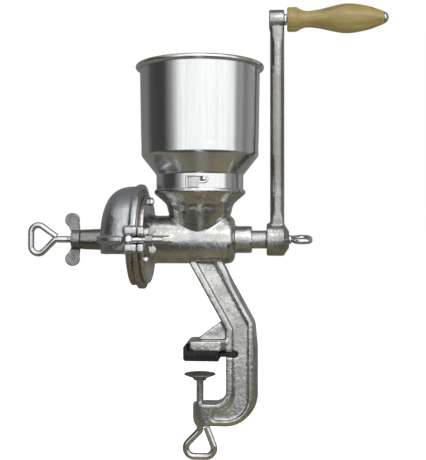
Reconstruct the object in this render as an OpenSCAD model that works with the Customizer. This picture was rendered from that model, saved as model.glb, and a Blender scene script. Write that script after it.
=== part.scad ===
// Hand grain mill with a table clamp. X runs along the auger towards the crank, -Y is the front,
// Z is up, and the origin lies on the underside of the jaw pad, on the line of the clamp screw.

/* [Layout] */
// Height of the auger line above the table top
axis_z = 119; // [114:1:126]
// Crank throw, from the auger line to the grip line
throw = 218.5; // [180:0.5:240]

/* [Hopper] */
// Outer radius of the bowl under its bead
bowl_top_r = 60; // [56:0.5:64]
// Outer radius of the bowl above its shoulder
bowl_low_r = 58.5; // [54:0.5:62]
// Height of the bead's middle above the neck's edge
hopper_h = 122; // [100:1:140]
// Height of the straight neck
neck_h = 15; // [14:0.5:18]
// Height of the shoulder between the neck and the bowl
bowl_shoulder_h = 19; // [16:1:26]
// Fold radius at the top of the neck
neck_fold_r = 5; // [3:0.5:8]
// Fold radius at the bottom of the bowl
bowl_fold_r = 9; // [5:0.5:12]
// Thickness of the sheet
sheet = 0.8; // [0.6:0.1:1.2]
// Radius of the rolled bead
bead_r = 2.5; // [1.8:0.1:3.2]
// Width of the bayonet slot's entry
slot_entry = 10; // [8:0.5:12]
// Length of the slot's leg past the entry
slot_leg = 9; // [7:0.5:12]
// Height of the slot's leg
slot_leg_h = 5.6; // [4.6:0.1:6.4]
// Height of the slot's upper side above the neck's edge
slot_top = 11.3; // [9:0.1:12.5]
// Distance from the hopper line to the entry's far side
slot_x = 8; // [6:0.5:13]

/* [Funnel and barrel] */
// Outer radius of the spigot under the hopper's neck
spigot_r = 42.4; // [40:0.2:45]
// Height of the spigot above the funnel's shoulder
spigot_h = 13; // [12.6:0.1:14]
// Wall of the spigot
spigot_wall = 3.5; // [2.5:0.1:5]
// Height of the funnel's shoulder above the auger line
funnel_h = 49.3; // [47:0.1:54]
// How far the funnel's shoulder stands out past the spigot
shoulder_out = 3.1; // [2.2:0.1:4]
// Thickness of the funnel shoulder's edge
shoulder_t = 3.6; // [2.5:0.1:5]
// Outer radius of the funnel's waist above the barrel
waist_r = 32; // [30:0.5:34]
// Height of the funnel's waist above the auger line
waist_h = 28; // [26:0.5:30]
// Height of the steep part of the funnel above its waist
waist_rise = 7; // [5:0.5:8]
// Fold radius at the funnel's waist
waist_fold_r = 18; // [10:1:20]
// Fold radius between the funnel's steep part and its brim
brim_fold_r = 11; // [5:0.5:12]
// Outer radius of the funnel on the auger line
root_r = 19.4; // [18:0.2:22]
// Radius of the throat above the auger
throat_r = 16; // [13:0.5:18]
// Height of the throat's mouth above the auger line
throat_h = 12; // [8:0.5:16]
// Outer radius of the barrel
barrel_r = 24; // [23.5:0.5:27]
// Radius of the auger bore
bore_r = 20; // [18.5:0.25:21]
// Distance from the hopper line to the crank end of the barrel
barrel_end = 35; // [33.5:0.5:40]
// Rounding of the barrel's crank end
barrel_round = 7; // [4:0.5:9]
// Thickness of the wall between the auger and the bearing
bearing_wall = 6; // [4:0.5:8]
// Outer radius of the bearing neck
bearing_r = 13.5; // [12:0.25:15]
// Length of the bearing neck
bearing_len = 17; // [14:0.5:18]
// Radius of the burr flange
flange_r = 44; // [43:0.5:46]
// Thickness of the burr flange
flange_t = 5; // [4:0.25:6]
// Distance from the hopper line to the flange's burr seat
flange_x = 55.5; // [54:0.5:58]
// Radius of the flare between barrel and flange
flare_r = 8; // [5:0.5:9]
// Length of the rib from the flange along the barrel
rib_len = 28; // [20:1:32]
// How far the rib stands out from the barrel at the flange
rib_out = 12; // [8:0.5:14]
// Thickness of the rib
rib_t = 6; // [4:0.5:8]

/* [Clamp frame] */
// Width of the frame's bar, seen from the front
bar_w = 29; // [25:0.5:31]
// Depth of the frame's bar, from front to back
bar_t = 25; // [20:0.5:28]
// Lean of the arm under the barrel
arm_lean = 29; // [24:1:31]
// Distance from the hopper line to the inner side of the spine
spine_x = 26.8; // [26:0.2:32]
// Height of the knee above the table top
knee_z = 33.7; // [31:0.5:38]
// Depth of the inner side of the foot below the table top
foot_drop = 43.5; // [40:0.5:60]
// Height of the foot
foot_h = 23.5; // [18:0.5:26]
// Distance from the clamp screw's line to the end of the foot
foot_end = 7; // [6.5:0.25:12]
// Rounding under the end of the foot
foot_round = 9; // [5:0.5:10]
// Inner radius of the frame's corner
corner_in = 12; // [8:0.5:15]
// Outer radius of the frame's corner
corner_out = 30; // [24:0.5:36]
// Width of the raised edge round the frame's panel
edge_w = 6.5; // [5:0.25:8]
// Depth of the frame's panel below its edge
panel_d = 4; // [2:0.25:6]
// Rounding of the panel's end in the foot
panel_round = 4; // [2:0.5:5]

/* [Jaw] */
// Distance from the clamp screw's line to the end of the jaw plate
jaw_end = 11; // [9:0.5:14]
// Width of the jaw plate
jaw_w = 40; // [34:1:48]
// Thickness of the jaw plate
jaw_t = 9.5; // [8:0.5:11]
// Rounding of the jaw plate's corners
jaw_round = 6; // [3:0.5:9]
// Length over which the jaw plate narrows to the spine
jaw_neck = 5; // [3:0.5:8]
// Slope of the gusset over the jaw
gusset_slope = 36; // [30:1:42]
// Thickness of the gusset over the jaw
gusset_t = 8; // [6:0.5:12]
// Distance from the jaw plate's end to the gusset
gusset_in = 7; // [5:0.5:10]
// Thickness of the rubber under the jaw plate
pad_t = 10; // [8:0.5:11]
// How far the rubber stands out past the jaw plate's sides
pad_side = 1; // [0.5:0.25:2]
// Thickness of the rubber over the jaw plate's end
pad_wrap = 3.5; // [3:0.5:6]
// Distance from the clamp screw's line to the inner end of the pad
pad_len = 20; // [16:0.5:22]
// Height of the pad's tongue above the table top
tongue_z = 5.5; // [4.5:0.25:6.5]
// Thickness of the pad's tongue
tongue_t = 4; // [3:0.25:5]
// Reach of the pad's tongue into the spine
tongue_in = 10; // [7:0.5:12]
// How far the rubber stays below the jaw plate's top at its end
pad_drop = 2.5; // [1:0.5:4]
// Pitch of the notches along the pad's lower edges
notch_pitch = 2.5; // [2:0.25:5]

/* [Clamp screw] */
// Radius of the clamp screw
clamp_r = 3.75; // [3.25:0.25:4.25]
// Gap between the jaw pad and the clamp disc
clamp_gap = 15; // [13:0.5:20]
// Radius of the clamp disc
disc_r = 15.75; // [13:0.25:18]
// Height of the clamp disc
disc_h = 6.5; // [5.5:0.25:8]
// Length of the clamp screw's eye
clamp_eye_len = 33; // [28:0.5:38]
// Width of the clamp screw's eye
clamp_eye_w = 35; // [28:0.5:40]
// Room between the foot and the clamp screw's eye
clamp_eye_gap = 1.5; // [1.25:0.25:4]

/* [Burrs] */
// Radius of the stationary burr
fixed_burr_r = 49.5; // [48:0.25:54]
// Thickness of the stationary burr
fixed_burr_t = 5; // [4:0.25:6]
// Radius of the rotating burr
turning_burr_r = 46; // [44:0.5:47]
// Thickness of the rotating burr
turning_burr_t = 5.8; // [5:0.2:7]
// Gap between the burrs
burr_gap = 1.2; // [1.1:0.1:2]
// Furrows in each sector of a burr
furrows = 3; // [2:1:3]
// Sectors of furrows on a burr
sectors = 12; // [8:1:14]
// Width of a furrow
furrow_w = 2.6; // [2:0.2:3]
// Depth of a furrow
furrow_d = 1.4; // [1:0.1:1.8]
// Width of flange left outside a burr nut
burr_nut_edge = 2; // [1:0.25:2.5]
// Radius of a burr screw
burr_screw_r = 2; // [1.75:0.25:2.25]
// Width across the flats of a burr nut
burr_nut_w = 7; // [6:0.5:7.5]
// Thickness of a burr nut
burr_nut_t = 3.2; // [2.5:0.1:4]
// Radius of the drive pin
drive_pin_r = 2; // [1.5:0.25:2.5]
// Length of the drive pin
drive_pin_len = 32; // [26:1:36]
// Height of the driving hub on the rotating burr's back
drive_hub_h = 4.4; // [4:0.2:5]

/* [Cover] */
// Room between the stationary burr and the cover
cover_room = 0.6; // [0.4:0.1:1]
// Depth of the cover's dome
dome_len = 36; // [34:0.5:40]
// Wall of the dome
dome_wall = 3.4; // [2.5:0.1:4]
// How far the cover's rim stands out past the dome
rim_out = 2; // [1:0.25:3]
// Width of the cover's rim
rim_w = 5.5; // [4:0.25:7]
// Reach of the cover below the auger line
skirt = 14; // [12.8:0.2:18]
// Outer radius of the adjuster boss at its end
boss_r = 10; // [8:0.25:11]
// Outer radius of the adjuster boss at the dome
boss_root_r = 12; // [11:0.25:14]
// Length of the adjuster boss past the dome
boss_len = 23.5; // [18:0.5:28]
// How far the yoke rib stands out from the dome
yoke_out = 3.5; // [2:0.25:5]
// Thickness of the yoke rib
yoke_t = 6; // [4:0.5:9]

/* [Swing bolts] */
// Distance from the dome's side to a swing bolt's line
bolt_out = 3.5; // [3:0.25:6]
// Distance from the face where the ears meet to a hinge pin
pin_back = 8.6; // [8:0.1:9]
// Radius of a swing bolt
bolt_r = 3.25; // [2.75:0.25:3.5]
// Length of a swing bolt from its pin to its end
bolt_len = 33.5; // [30:0.5:38]
// Radius of a swing bolt's eye
bolt_eye_r = 5.2; // [4.8:0.1:5.4]
// Thickness of a swing bolt's eye
bolt_eye_t = 7; // [6:0.25:7.5]
// Radius of a hinge pin
pin_r = 2; // [1.5:0.1:2.5]
// Height of an ear
ear_h = 25; // [22:0.5:25.4]
// How far an ear reaches past the bolt's line
ear_out = 5; // [4:0.25:5]
// Distance from the burr seat to the face where the ears meet
ear_joint = 2.1; // [1:0.1:3]
// Thickness of a body ear
body_ear_t = 6.8; // [5:0.2:8]
// Thickness of a cover ear
cover_ear_t = 13; // [12:0.5:15]
// Room between a body ear and its wing nut
nut_gap = 1.2; // [1.2:0.1:2]
// Radius of a wing nut's hub
nut_r = 5.6; // [5:0.1:6]
// Length of a wing nut's hub
nut_len = 6.5; // [5:0.25:8]
// Span of a wing nut
nut_span = 26; // [22:0.5:30]
// Width of a wing nut's blade
nut_blade = 7; // [5:0.25:8]
// Thickness of a wing nut's blade
nut_blade_t = 2.4; // [2:0.1:3]

/* [Adjuster] */
// Radius of the adjusting screw
adjuster_r = 3.4; // [3:0.2:3.8]
// Length of the adjusting screw's eye
adjuster_eye_len = 31; // [26:0.5:36]
// Width of the adjusting screw's eye
adjuster_eye_w = 35; // [28:0.5:40]
// Length of plain rod between the lock nut and the eye
adjuster_free = 15; // [10:0.5:22]
// Radius of the lock nut's hub
lock_r = 9.75; // [8:0.25:11]
// Length of the lock nut's hub
lock_len = 8.9; // [7:0.1:11]
// Span of the lock nut
lock_span = 54; // [46:1:60]
// Width of the lock nut's blade
lock_blade = 14.6; // [12:0.2:16]
// Thickness of the lock nut's blade
lock_blade_t = 4.1; // [3:0.1:5]
// Radius of the thrust ball
ball_r = 4; // [3:0.25:4.5]

/* [Auger] */
// Radius of the shaft
shaft_r = 9; // [8:0.25:10]
// Room between the auger's flight and the bore
flight_gap = 0.8; // [0.5:0.1:1.5]
// Pitch of the flight
flight_pitch = 26; // [20:1:32]
// Thickness of the flight at its tip
flight_t = 4; // [3:0.25:6]
// Length of shaft in sight between the bearing and the crank
shaft_show = 14.7; // [12:0.1:20]
// Radius of the shaft's end in the crank hub
shaft_end_r = 7; // [6:0.25:8]
// Distance from the shaft's line to the flat on its end
shaft_flat = 5; // [4.5:0.25:5.75]
// Length of shaft past the rotating burr's hub
shaft_tail = 4; // [3.5:0.25:6]
// Depth of the ball's pocket in the shaft
pocket_d = 2.4; // [1.5:0.1:2.6]
// Room between the flight and the bearing's wall
flight_room = 2; // [1.5:0.25:4]

/* [Crank] */
// Radius of the crank hub
hub_r = 16.3; // [14:0.1:18]
// Length of the crank hub
hub_len = 17.5; // [15:0.5:20]
// Length of the cone on the crank hub's outer end
hub_cone = 4.8; // [3:0.2:6]
// Thickness of the arm along the shaft
arm_t = 14; // [12:0.5:15]
// Width of the arm at the hub
arm_w = 18; // [15:0.5:20]
// Width of the arm at the head
arm_top_w = 14; // [12:0.5:17]
// Rounding of the arm's edges
arm_round = 4.5; // [3:0.25:5.5]
// Radius of the crank head
head_r = 9.8; // [9:0.1:12]
// Length of the crank head
head_len = 15; // [14:0.5:17]
// Radius of the crank screw
crank_screw_r = 3; // [2.5:0.25:3.5]
// Length of the crank screw's eye
crank_eye_len = 23; // [20:0.5:28]
// Width of the crank screw's eye
crank_eye_w = 30; // [24:0.5:36]
// Tilt of the crank screw's eye
crank_eye_tilt = 8; // [0:1:90]

/* [Grip] */
// Length of the grip
grip_len = 94.9; // [80:0.5:110]
// Radius of the grip's collar
grip_collar_r = 12; // [10:0.25:13]
// Length of the grip's collar
grip_collar = 9; // [7:0.5:12]
// Radius of the grip's neck
grip_neck_r = 8.2; // [7.5:0.1:10]
// Distance from the grip's collar to the narrowest part of its neck
grip_neck_len = 9; // [7:0.5:12]
// Length of the slim part of the grip past its neck
grip_slim = 13; // [7:0.5:15]
// Radius of the grip's swell
grip_swell_r = 14.3; // [13:0.1:17]
// Distance from the grip's inner end to its swell
grip_swell_at = 57; // [52:0.5:60]
// How much the grip narrows halfway from its swell to its end
grip_fall = 2.4; // [1.5:0.1:3.5]
// Radius of the grip's outer end
grip_end_r = 6.2; // [5:0.1:8]
// Radius of the grip bolt
grip_bolt_r = 3; // [2.5:0.25:3.5]
// Height of the grip bolt's domed head
grip_cap_h = 4.5; // [3.5:0.25:6]
// Thickness of the grip's lock nut
grip_nut_t = 2.5; // [2:0.1:4]
// Width across the flats of the grip's lock nut
grip_nut_w = 10; // [8:0.5:12]

/* [Fits] */
// Radial clearance of a running fit and of a thread
run_fit = 0.06; // [0.04:0.01:0.1]
// Gap between faces that slide past each other
face_gap = 0.3; // [0.2:0.05:0.4]

/* [Hidden] */
$fn = 96;
hull_fn = 32;
tube_sides = 8;
bend_steps = 5;
lap = 0.5;
screw_end = 1;
flight_sink = 1.5;
burr_land = 2;

// Stations along the auger line, from the flange towards the adjuster
seat_x = -flange_x;
fixed_face_x = seat_x - fixed_burr_t;
turning_face_x = fixed_face_x - burr_gap;
turning_back_x = turning_face_x - turning_burr_t;
drive_pin_x = turning_back_x - drive_hub_h / 2;
shaft_tail_x = turning_back_x - drive_hub_h - shaft_tail;
ball_x = shaft_tail_x + pocket_d - face_gap - ball_r;
adjuster_tip_x = ball_x - ball_r - face_gap;
rim_face_x = seat_x - face_gap;
dome_base_x = rim_face_x - rim_w;
boss_end_x = dome_base_x - dome_len - boss_len;
lock_seat_x = boss_end_x - face_gap;
adjuster_eye_x = lock_seat_x - lock_len - adjuster_free;

// Stations along the auger line, from the barrel towards the crank
bearing_x = barrel_end - bearing_wall;
bearing_end_x = barrel_end + bearing_len;
hub_x = bearing_end_x + shaft_show;
hub_end_x = hub_x + hub_len;
cone_end_x = hub_end_x + hub_cone;
grip_nut_x = hub_end_x;
grip_x = grip_nut_x + grip_nut_t + face_gap;
grip_end_x = grip_x + grip_len;
grip_z = axis_z + throw;

// Radii and places that pieces share
neck_r = spigot_r + face_gap + sheet;
shoulder_z = axis_z + funnel_h;
neck_z = shoulder_z + face_gap;
lug_r = slot_leg_h / 2 - face_gap;
lug_x = slot_entry + slot_leg - slot_x - slot_leg_h / 2;
lug_z = neck_z + slot_top - slot_leg_h / 2;
hood_r = fixed_burr_r + cover_room;
dome_r = hood_r + dome_wall;
rim_r = dome_r + rim_out;
bolt_y = dome_r + bolt_out;
ear_y = bolt_y + ear_out;
ear_face_x = seat_x + ear_joint;
pin_x = ear_face_x - pin_back;
nut_seat_x = ear_face_x + body_ear_t + nut_gap;
burr_nut_r = burr_nut_w / sqrt(3);
burr_screw_circle = flange_r - burr_nut_edge - burr_nut_r;
burr_head_r = 2 * burr_screw_r;
burr_head_h = burr_head_r - burr_screw_r;
burr_head_sink = furrow_d + lap;
drive_hub_r = drive_pin_len / 2 + 1;
knee_x = spine_x + bar_w / 2;
jaw_top = pad_t + jaw_t;
foot_z = -foot_drop - foot_h;
clamp_eye_z = foot_z - clamp_eye_gap;
disc_z = -clamp_gap - disc_h;
journal_r = clamp_r - 1;

steel = "silver";
cast = "gainsboro";
wood = "burlywood";
rubber = "#1c1c1e";

function unit(v) = v / norm(v);
function aim(v) = atan2(v.y, v.x);
function around(r, a) = r * [cos(a), sin(a)];

// Arc of radius r that rounds the corner b between a and c
function corner_arc(a, b, c, r, steps) =
    let (u = unit(a - b), w = unit(c - b))
    let (half = acos(u * w) / 2, centre = b + unit(u + w) * r / sin(half))
    let (from = b + u * r / tan(half) - centre, to = b + w * r / tan(half) - centre)
    let (turn = 180 - 2 * half)
    [for (i = [0:steps])
        centre + (from * sin(turn * (1 - i / steps)) + to * sin(turn * i / steps)) / sin(turn)];

// Direction of a path at its point i, and the path moved sideways by d
function heading(path, i) =
    unit(path[min(i + 1, len(path) - 1)] - path[max(i - 1, 0)]);
function beside(path, d) =
    [for (i = [0:len(path) - 1]) let (t = heading(path, i)) path[i] + d * [-t.y, t.x]];

// Outline of the dome: a rounded bowl of radius r and depth l, as [radius, depth] points
function dome_curve(r, l, steps = 14) =
    [for (i = [0:steps]) let (a = 90 * i / steps) [r * pow(cos(a), 2 / 3), l * pow(sin(a), 2 / 3)]];

// Closed skin over a row of rings with the same number of points
module skin(rings) {
    n = len(rings[0]);
    last = (len(rings) - 1) * n;
    sides = [for (i = [0:len(rings) - 2], j = [0:n - 1]) let (k = (j + 1) % n)
        each [[i * n + j, (i + 1) * n + k, i * n + k], [i * n + j, (i + 1) * n + j, (i + 1) * n + k]]];
    ends = [for (j = [1:n - 2]) each [[0, j, j + 1], [last, last + j + 1, last + j]]];
    polyhedron([for (ring = rings) each ring], concat(sides, ends));
}

// Round wire along a flat path
module wire(path, r) {
    skin([for (i = [0:len(path) - 1]) let (t = heading(path, i))
        [for (j = [0:tube_sides - 1]) let (a = 360 * j / tube_sides)
            [path[i].x - t.y * r * cos(a), path[i].y + t.x * r * cos(a), r * sin(a)]]]);
}

// Eye bent from a rod that ends at the origin, reaching eye_len along +X and eye_w across Y
module wire_eye(eye_len, eye_w, r) {
    bend = 2.4 * r;
    root = [-2 * r, 0];
    neck = [r, 0];
    tip = [0.15 * r, 1.95 * r];
    low = [eye_len - r - bend, r + bend - eye_w / 2];
    high = [low.x, -low.y];
    start = aim(low - neck) - asin(bend / norm(low - neck)) - 90;
    finish = (aim(tip - high) + 360) % 360 + asin(bend / norm(tip - high)) - 90;
    wire(concat(
        [root],
        corner_arc(root, neck, low + around(bend, start), 1.5 * r, 3),
        [for (i = [0:bend_steps]) low + around(bend, start * (1 - i / bend_steps))],
        [for (i = [0:bend_steps]) high + around(bend, finish * i / bend_steps)],
        [tip]
    ), r);
}

// Wing nut seated on the plane z = 0, with two blades that lean away from its seat
module wing_nut(hub, hub_len, bore, span, lean, blade_w, blade_t) {
    tip = [span / 2 - blade_w / 2, hub_len / 2 + lean];
    waist = 0.45 * blade_w;
    difference() {
        union() {
            cylinder(r = hub, h = hub_len);
            for (side = [0, 180]) rotate([0, 0, side])
                translate([0, blade_t / 2, 0]) rotate([90, 0, 0]) linear_extrude(blade_t) {
                    translate(tip) circle(blade_w / 2);
                    polygon([[hub / 2, lap], [tip.x, tip.y - waist],
                        [tip.x, tip.y + waist], [hub / 2, hub_len - lap]]);
                }
        }
        translate([0, 0, -1]) cylinder(r = bore, h = hub_len + 2);
    }
}

// Places children on the auger line, with their Z along X or against it
module along(x) {
    translate([x, 0, axis_z]) rotate([0, 90, 0]) children();
}
module against(x) {
    translate([x, 0, axis_z]) rotate([0, -90, 0]) children();
}

// Turns a [radius, x] profile about the auger line
module turned() {
    along(0) rotate_extrude() children();
}

// Stands an outline drawn in X and Z upright, t deep and centred on Y = 0
module upright(t) {
    translate([0, t / 2, 0]) rotate([90, 0, 0]) linear_extrude(t) children();
}

// Front and rear copies
module both_sides() {
    for (side = [0, 1]) mirror([0, side, 0]) children();
}

module barrel_outline() {
    flare = min(flare_r, burr_screw_circle - burr_nut_r - barrel_r - lap);
    back = seat_x + flange_t;
    translate([0, seat_x]) square([flange_r, flange_t]);
    difference() {
        translate([0, back - lap]) square([barrel_r + flare, flare + lap]);
        translate([barrel_r + flare, back + flare]) circle(flare);
    }
    translate([0, back + flare]) square([barrel_r, barrel_end - barrel_round - back - flare]);
    translate([0, back]) square([barrel_r - barrel_round, barrel_end - back]);
    translate([barrel_r - barrel_round, barrel_end - barrel_round]) circle(barrel_round);
    translate([0, barrel_end - lap]) square([bearing_r, bearing_len + lap]);
}

module funnel_outline() {
    waist = [waist_r, waist_h];
    bend = waist + [1, waist_rise];
    brim = [spigot_r + shoulder_out, funnel_h - shoulder_t];
    polygon(concat(
        [[0, 0], [root_r, 0]],
        corner_arc([root_r, 0], waist, bend, waist_fold_r, bend_steps),
        corner_arc(waist, bend, brim, brim_fold_r, bend_steps),
        [brim, [brim.x, funnel_h], [spigot_r, funnel_h]],
        [[spigot_r, funnel_h + spigot_h], [0, funnel_h + spigot_h]]
    ));
}

module throat_outline() {
    mouth_r = spigot_r - spigot_wall;
    polygon([[0, 0], [throat_r, 0], [throat_r, throat_h], [mouth_r, funnel_h],
        [mouth_r, funnel_h + spigot_h + 1], [0, funnel_h + spigot_h + 1]]);
}

// C-shaped bar from the barrel to the clamp foot, drawn in by an inset
module frame_outline(inset, top_z, foot_x, foot_r) {
    half = bar_w / 2 - inset;
    rise = top_z - knee_z;
    across = half * [cos(arm_lean), sin(arm_lean)];
    top = [knee_x - rise * tan(arm_lean), top_z];
    knee = [knee_x, knee_z];
    low = foot_z + inset;
    high = -foot_drop - inset;
    turn = [spine_x + bar_w - corner_out, foot_z + corner_out];
    hollow = [spine_x - corner_in, corner_in - foot_drop];
    polygon([top - across, knee - across, knee + across, top + across]);
    translate(knee) circle(half);
    translate([knee_x - half, turn.y]) square([2 * half, knee_z - turn.y]);
    difference() {
        union() {
            intersection() {
                translate(turn) circle(corner_out - inset);
                translate([turn.x, low]) square([corner_out, turn.y - low]);
            }
            translate([hollow.x, high]) square([knee_x - hollow.x, hollow.y - high]);
        }
        translate(hollow) circle(corner_in + inset);
    }
    translate([foot_x + foot_r, low]) square([turn.x - foot_x - foot_r + lap, high - low]);
    translate([foot_x, low + foot_r]) square([foot_r + lap, high - low - foot_r]);
    translate([foot_x + foot_r, low + foot_r]) circle(foot_r);
}

// Sunk panel of the frame, which runs up to the underside of the barrel
module panel_outline() {
    panel_top = axis_z - barrel_r + panel_d / 2;
    intersection() {
        frame_outline(edge_w, axis_z, foot_end + edge_w, panel_round);
        translate([-bar_w, foot_z]) square([4 * bar_w, panel_top - foot_z]);
    }
}

module jaw_outline() {
    full_x = spine_x - jaw_neck;
    half = jaw_w / 2;
    translate([jaw_round - jaw_end, -half]) square([full_x + jaw_end - jaw_round, jaw_w]);
    translate([-jaw_end, jaw_round - half]) square([jaw_round + lap, jaw_w - 2 * jaw_round]);
    for (side = [-1, 1]) translate([jaw_round - jaw_end, side * (half - jaw_round)]) circle(jaw_round);
    polygon([[full_x - lap, -half], [full_x, -half], [spine_x + lap, -bar_t / 2],
        [spine_x + lap, bar_t / 2], [full_x, half], [full_x - lap, half]]);
}

module body_ear() {
    slot = bolt_r + 2 * face_gap;
    difference() {
        translate([ear_face_x, -ear_y, axis_z - ear_h / 2]) cube([body_ear_t, ear_y - barrel_r, ear_h]);
        translate([ear_face_x - 1, -ear_y - 1, axis_z - slot])
            cube([body_ear_t + 2, ear_y - bolt_y + slot + 1, 2 * slot]);
    }
}

// Rib that runs from the flange into the side of the barrel, in line with the ear
module barrel_rib() {
    back = seat_x + flange_t - lap;
    translate([0, 0, axis_z - rib_t / 2]) linear_extrude(rib_t)
        polygon([[back, 0], [back, -barrel_r - rib_out],
            [back + rib_len, lap - barrel_r], [back + rib_len, 0]]);
}

// What is cut from the end of the foot to give it a round nose about the clamp screw
module foot_nose() {
    nose_r = bar_t / 2;
    translate([-foot_end, 0, foot_z - 1]) difference() {
        translate([-1, -bar_t, 0]) cube([nose_r + 1, 2 * bar_t, foot_h + 2]);
        translate([nose_r, 0, -1]) cylinder(r = nose_r, h = foot_h + 4);
    }
}

module mill_body() color(cast) difference() {
    union() {
        turned() barrel_outline();
        both_sides() barrel_rib();
        translate([0, 0, axis_z]) rotate_extrude() funnel_outline();
        both_sides() body_ear();
        for (turn = [0, 180]) rotate([0, 0, turn]) translate([lug_x, -spigot_r + 1, lug_z])
            rotate([90, 0, 0]) cylinder(r = lug_r, h = neck_r - spigot_r + 2);
        upright(bar_t) frame_outline(0, axis_z - barrel_r / 2, -foot_end, foot_round);
        translate([0, 0, pad_t]) linear_extrude(jaw_t) jaw_outline();
        upright(gusset_t) polygon([[gusset_in - jaw_end, jaw_top - lap], [knee_x, jaw_top - lap],
            [knee_x, jaw_top + (knee_x + jaw_end - gusset_in) * tan(gusset_slope)]]);
    }
    turned() translate([0, seat_x - 1]) square([bore_r, bearing_x - seat_x + 1]);
    turned() translate([0, bearing_x - 1]) square([shaft_r + run_fit, bearing_end_x - bearing_x + 2]);
    translate([0, 0, axis_z]) rotate_extrude() throat_outline();
    both_sides() translate([0, panel_d - bar_t / 2, 0]) rotate([90, 0, 0]) linear_extrude(panel_d + 1)
        panel_outline();
    foot_nose();
    translate([spine_x - 1, -bar_t, tongue_z - tongue_t / 2 - face_gap])
        cube([tongue_in + face_gap + 1, 2 * bar_t, tongue_t + 2 * face_gap]);
    translate([0, 0, foot_z - 1]) cylinder(r = clamp_r + run_fit, h = foot_h + 2);
    for (i = [0:2]) along(seat_x - 1) rotate([0, 0, 120 * i + 180]) translate([burr_screw_circle, 0, 0])
        cylinder(r = burr_screw_r + run_fit, h = flange_t + 2);
}

// One side of the hopper's sheet, from the neck's edge to the bead
function hopper_path() =
    let (edge = [neck_r, 0], fold = [neck_r, neck_h])
    let (hip = [bowl_low_r, neck_h + bowl_shoulder_h], lip = [bowl_top_r, hopper_h])
    concat([edge], corner_arc(edge, fold, hip, neck_fold_r, bend_steps),
        corner_arc(fold, hip, lip, bowl_fold_r, bend_steps), [lip]);

module slot_outline() {
    translate([-slot_x, -1]) square([slot_entry, slot_top + 1]);
    translate([-slot_x, slot_top - slot_leg_h]) square([slot_x + lug_x, slot_leg_h]);
    translate([lug_x, slot_top - slot_leg_h / 2]) circle(slot_leg_h / 2);
}

module hopper() color(steel) translate([0, 0, neck_z]) difference() {
    outer = hopper_path();
    inner = beside(outer, sheet);
    rotate_extrude() {
        polygon(concat(outer, [for (i = [len(inner) - 1:-1:0]) inner[i]]));
        translate([bowl_top_r + bead_r - sheet, hopper_h]) circle(bead_r);
    }
    for (turn = [0, 180]) rotate([0, 0, turn]) rotate([90, 0, 0])
        linear_extrude(neck_r + 1) slot_outline();
}

// The cover: a dome open below, with a rim, a yoke rib, a boss and two forked ears
module dome_solid(r, l) {
    turned() translate([0, dome_base_x])
        polygon(concat([[0, 0]], [for (p = dome_curve(r, l)) [p.x, -p.y]]));
}

module cover_ear() {
    translate([ear_face_x - cover_ear_t, -ear_y, axis_z - ear_h / 2])
        cube([cover_ear_t, ear_y - hood_r + dome_wall, ear_h]);
}

module cover() color(cast) difference() {
    slot = bolt_eye_t / 2 + face_gap;
    slot_x0 = pin_x - bolt_eye_r - 2 * face_gap;
    union() {
        dome_solid(dome_r, dome_len);
        turned() translate([0, dome_base_x - lap]) square([rim_r, rim_w + lap]);
        intersection() {
            dome_solid(dome_r + yoke_out, dome_len + yoke_out);
            translate([boss_end_x, -ear_y, axis_z - yoke_t / 2])
                cube([dome_base_x - boss_end_x, 2 * ear_y, yoke_t]);
        }
        against(dome_base_x) cylinder(r1 = boss_root_r, r2 = boss_r, h = dome_len + boss_len);
        both_sides() cover_ear();
    }
    dome_solid(hood_r, dome_len - dome_wall);
    turned() translate([0, dome_base_x - lap]) square([hood_r, ear_face_x - dome_base_x + 2 * lap]);
    translate([boss_end_x - 1, -2 * ear_y, axis_z - skirt - 2 * ear_y])
        cube([ear_face_x - boss_end_x + 2, 4 * ear_y, 2 * ear_y]);
    along(boss_end_x - 1) cylinder(r = adjuster_r + run_fit, h = boss_len + dome_len);
    both_sides() {
        translate([slot_x0, -ear_y - 1, axis_z - slot])
            cube([ear_face_x - slot_x0 + 1, ear_y - bolt_y + bolt_eye_r + 2 * face_gap + 1, 2 * slot]);
        translate([pin_x, -bolt_y, axis_z - ear_h]) cylinder(r = pin_r + run_fit, h = 2 * ear_h);
    }
}

module cover_hinge_pins() color(steel) both_sides()
    translate([pin_x, -bolt_y, axis_z - ear_h / 2]) cylinder(r = pin_r, h = ear_h);

module swing_bolt() difference() {
    union() {
        translate([pin_x, -bolt_y, axis_z - bolt_eye_t / 2]) cylinder(r = bolt_eye_r, h = bolt_eye_t);
        translate([0, -bolt_y, 0]) along(pin_x) cylinder(r = bolt_r, h = bolt_len);
    }
    translate([pin_x, -bolt_y, axis_z - bolt_eye_t]) cylinder(r = pin_r + run_fit, h = 2 * bolt_eye_t);
}

module bolt_nut() translate([0, -bolt_y, 0]) along(nut_seat_x)
    wing_nut(nut_r, nut_len, bolt_r + run_fit, nut_span, nut_len / 2, nut_blade, nut_blade_t);

module front_swing_bolt() color(steel) swing_bolt();
module rear_swing_bolt() color(steel) mirror([0, 1, 0]) swing_bolt();
module front_wing_nut() color(steel) bolt_nut();
module rear_wing_nut() color(steel) mirror([0, 1, 0]) bolt_nut();

// Sectors of slanting furrows in the grinding face of a burr, which lies on the plane z = 0
module furrow_field(r) {
    pitch = 360 / sectors;
    step = 1.5 * furrow_w;
    for (i = [0:sectors - 1], k = [0:furrows - 1]) rotate([0, 0, i * pitch])
        translate([bore_r + burr_land + 2 * step * k, step * k, 0]) rotate([90, 0, 90])
            linear_extrude(r) polygon([[-furrow_w / 2, 0.01], [furrow_w / 2, 0.01], [0, -furrow_d]]);
}

module burr_screw_places() {
    for (i = [0:2]) rotate([0, 0, 120 * i + 180]) translate([burr_screw_circle, 0, 0]) children();
}

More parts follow.
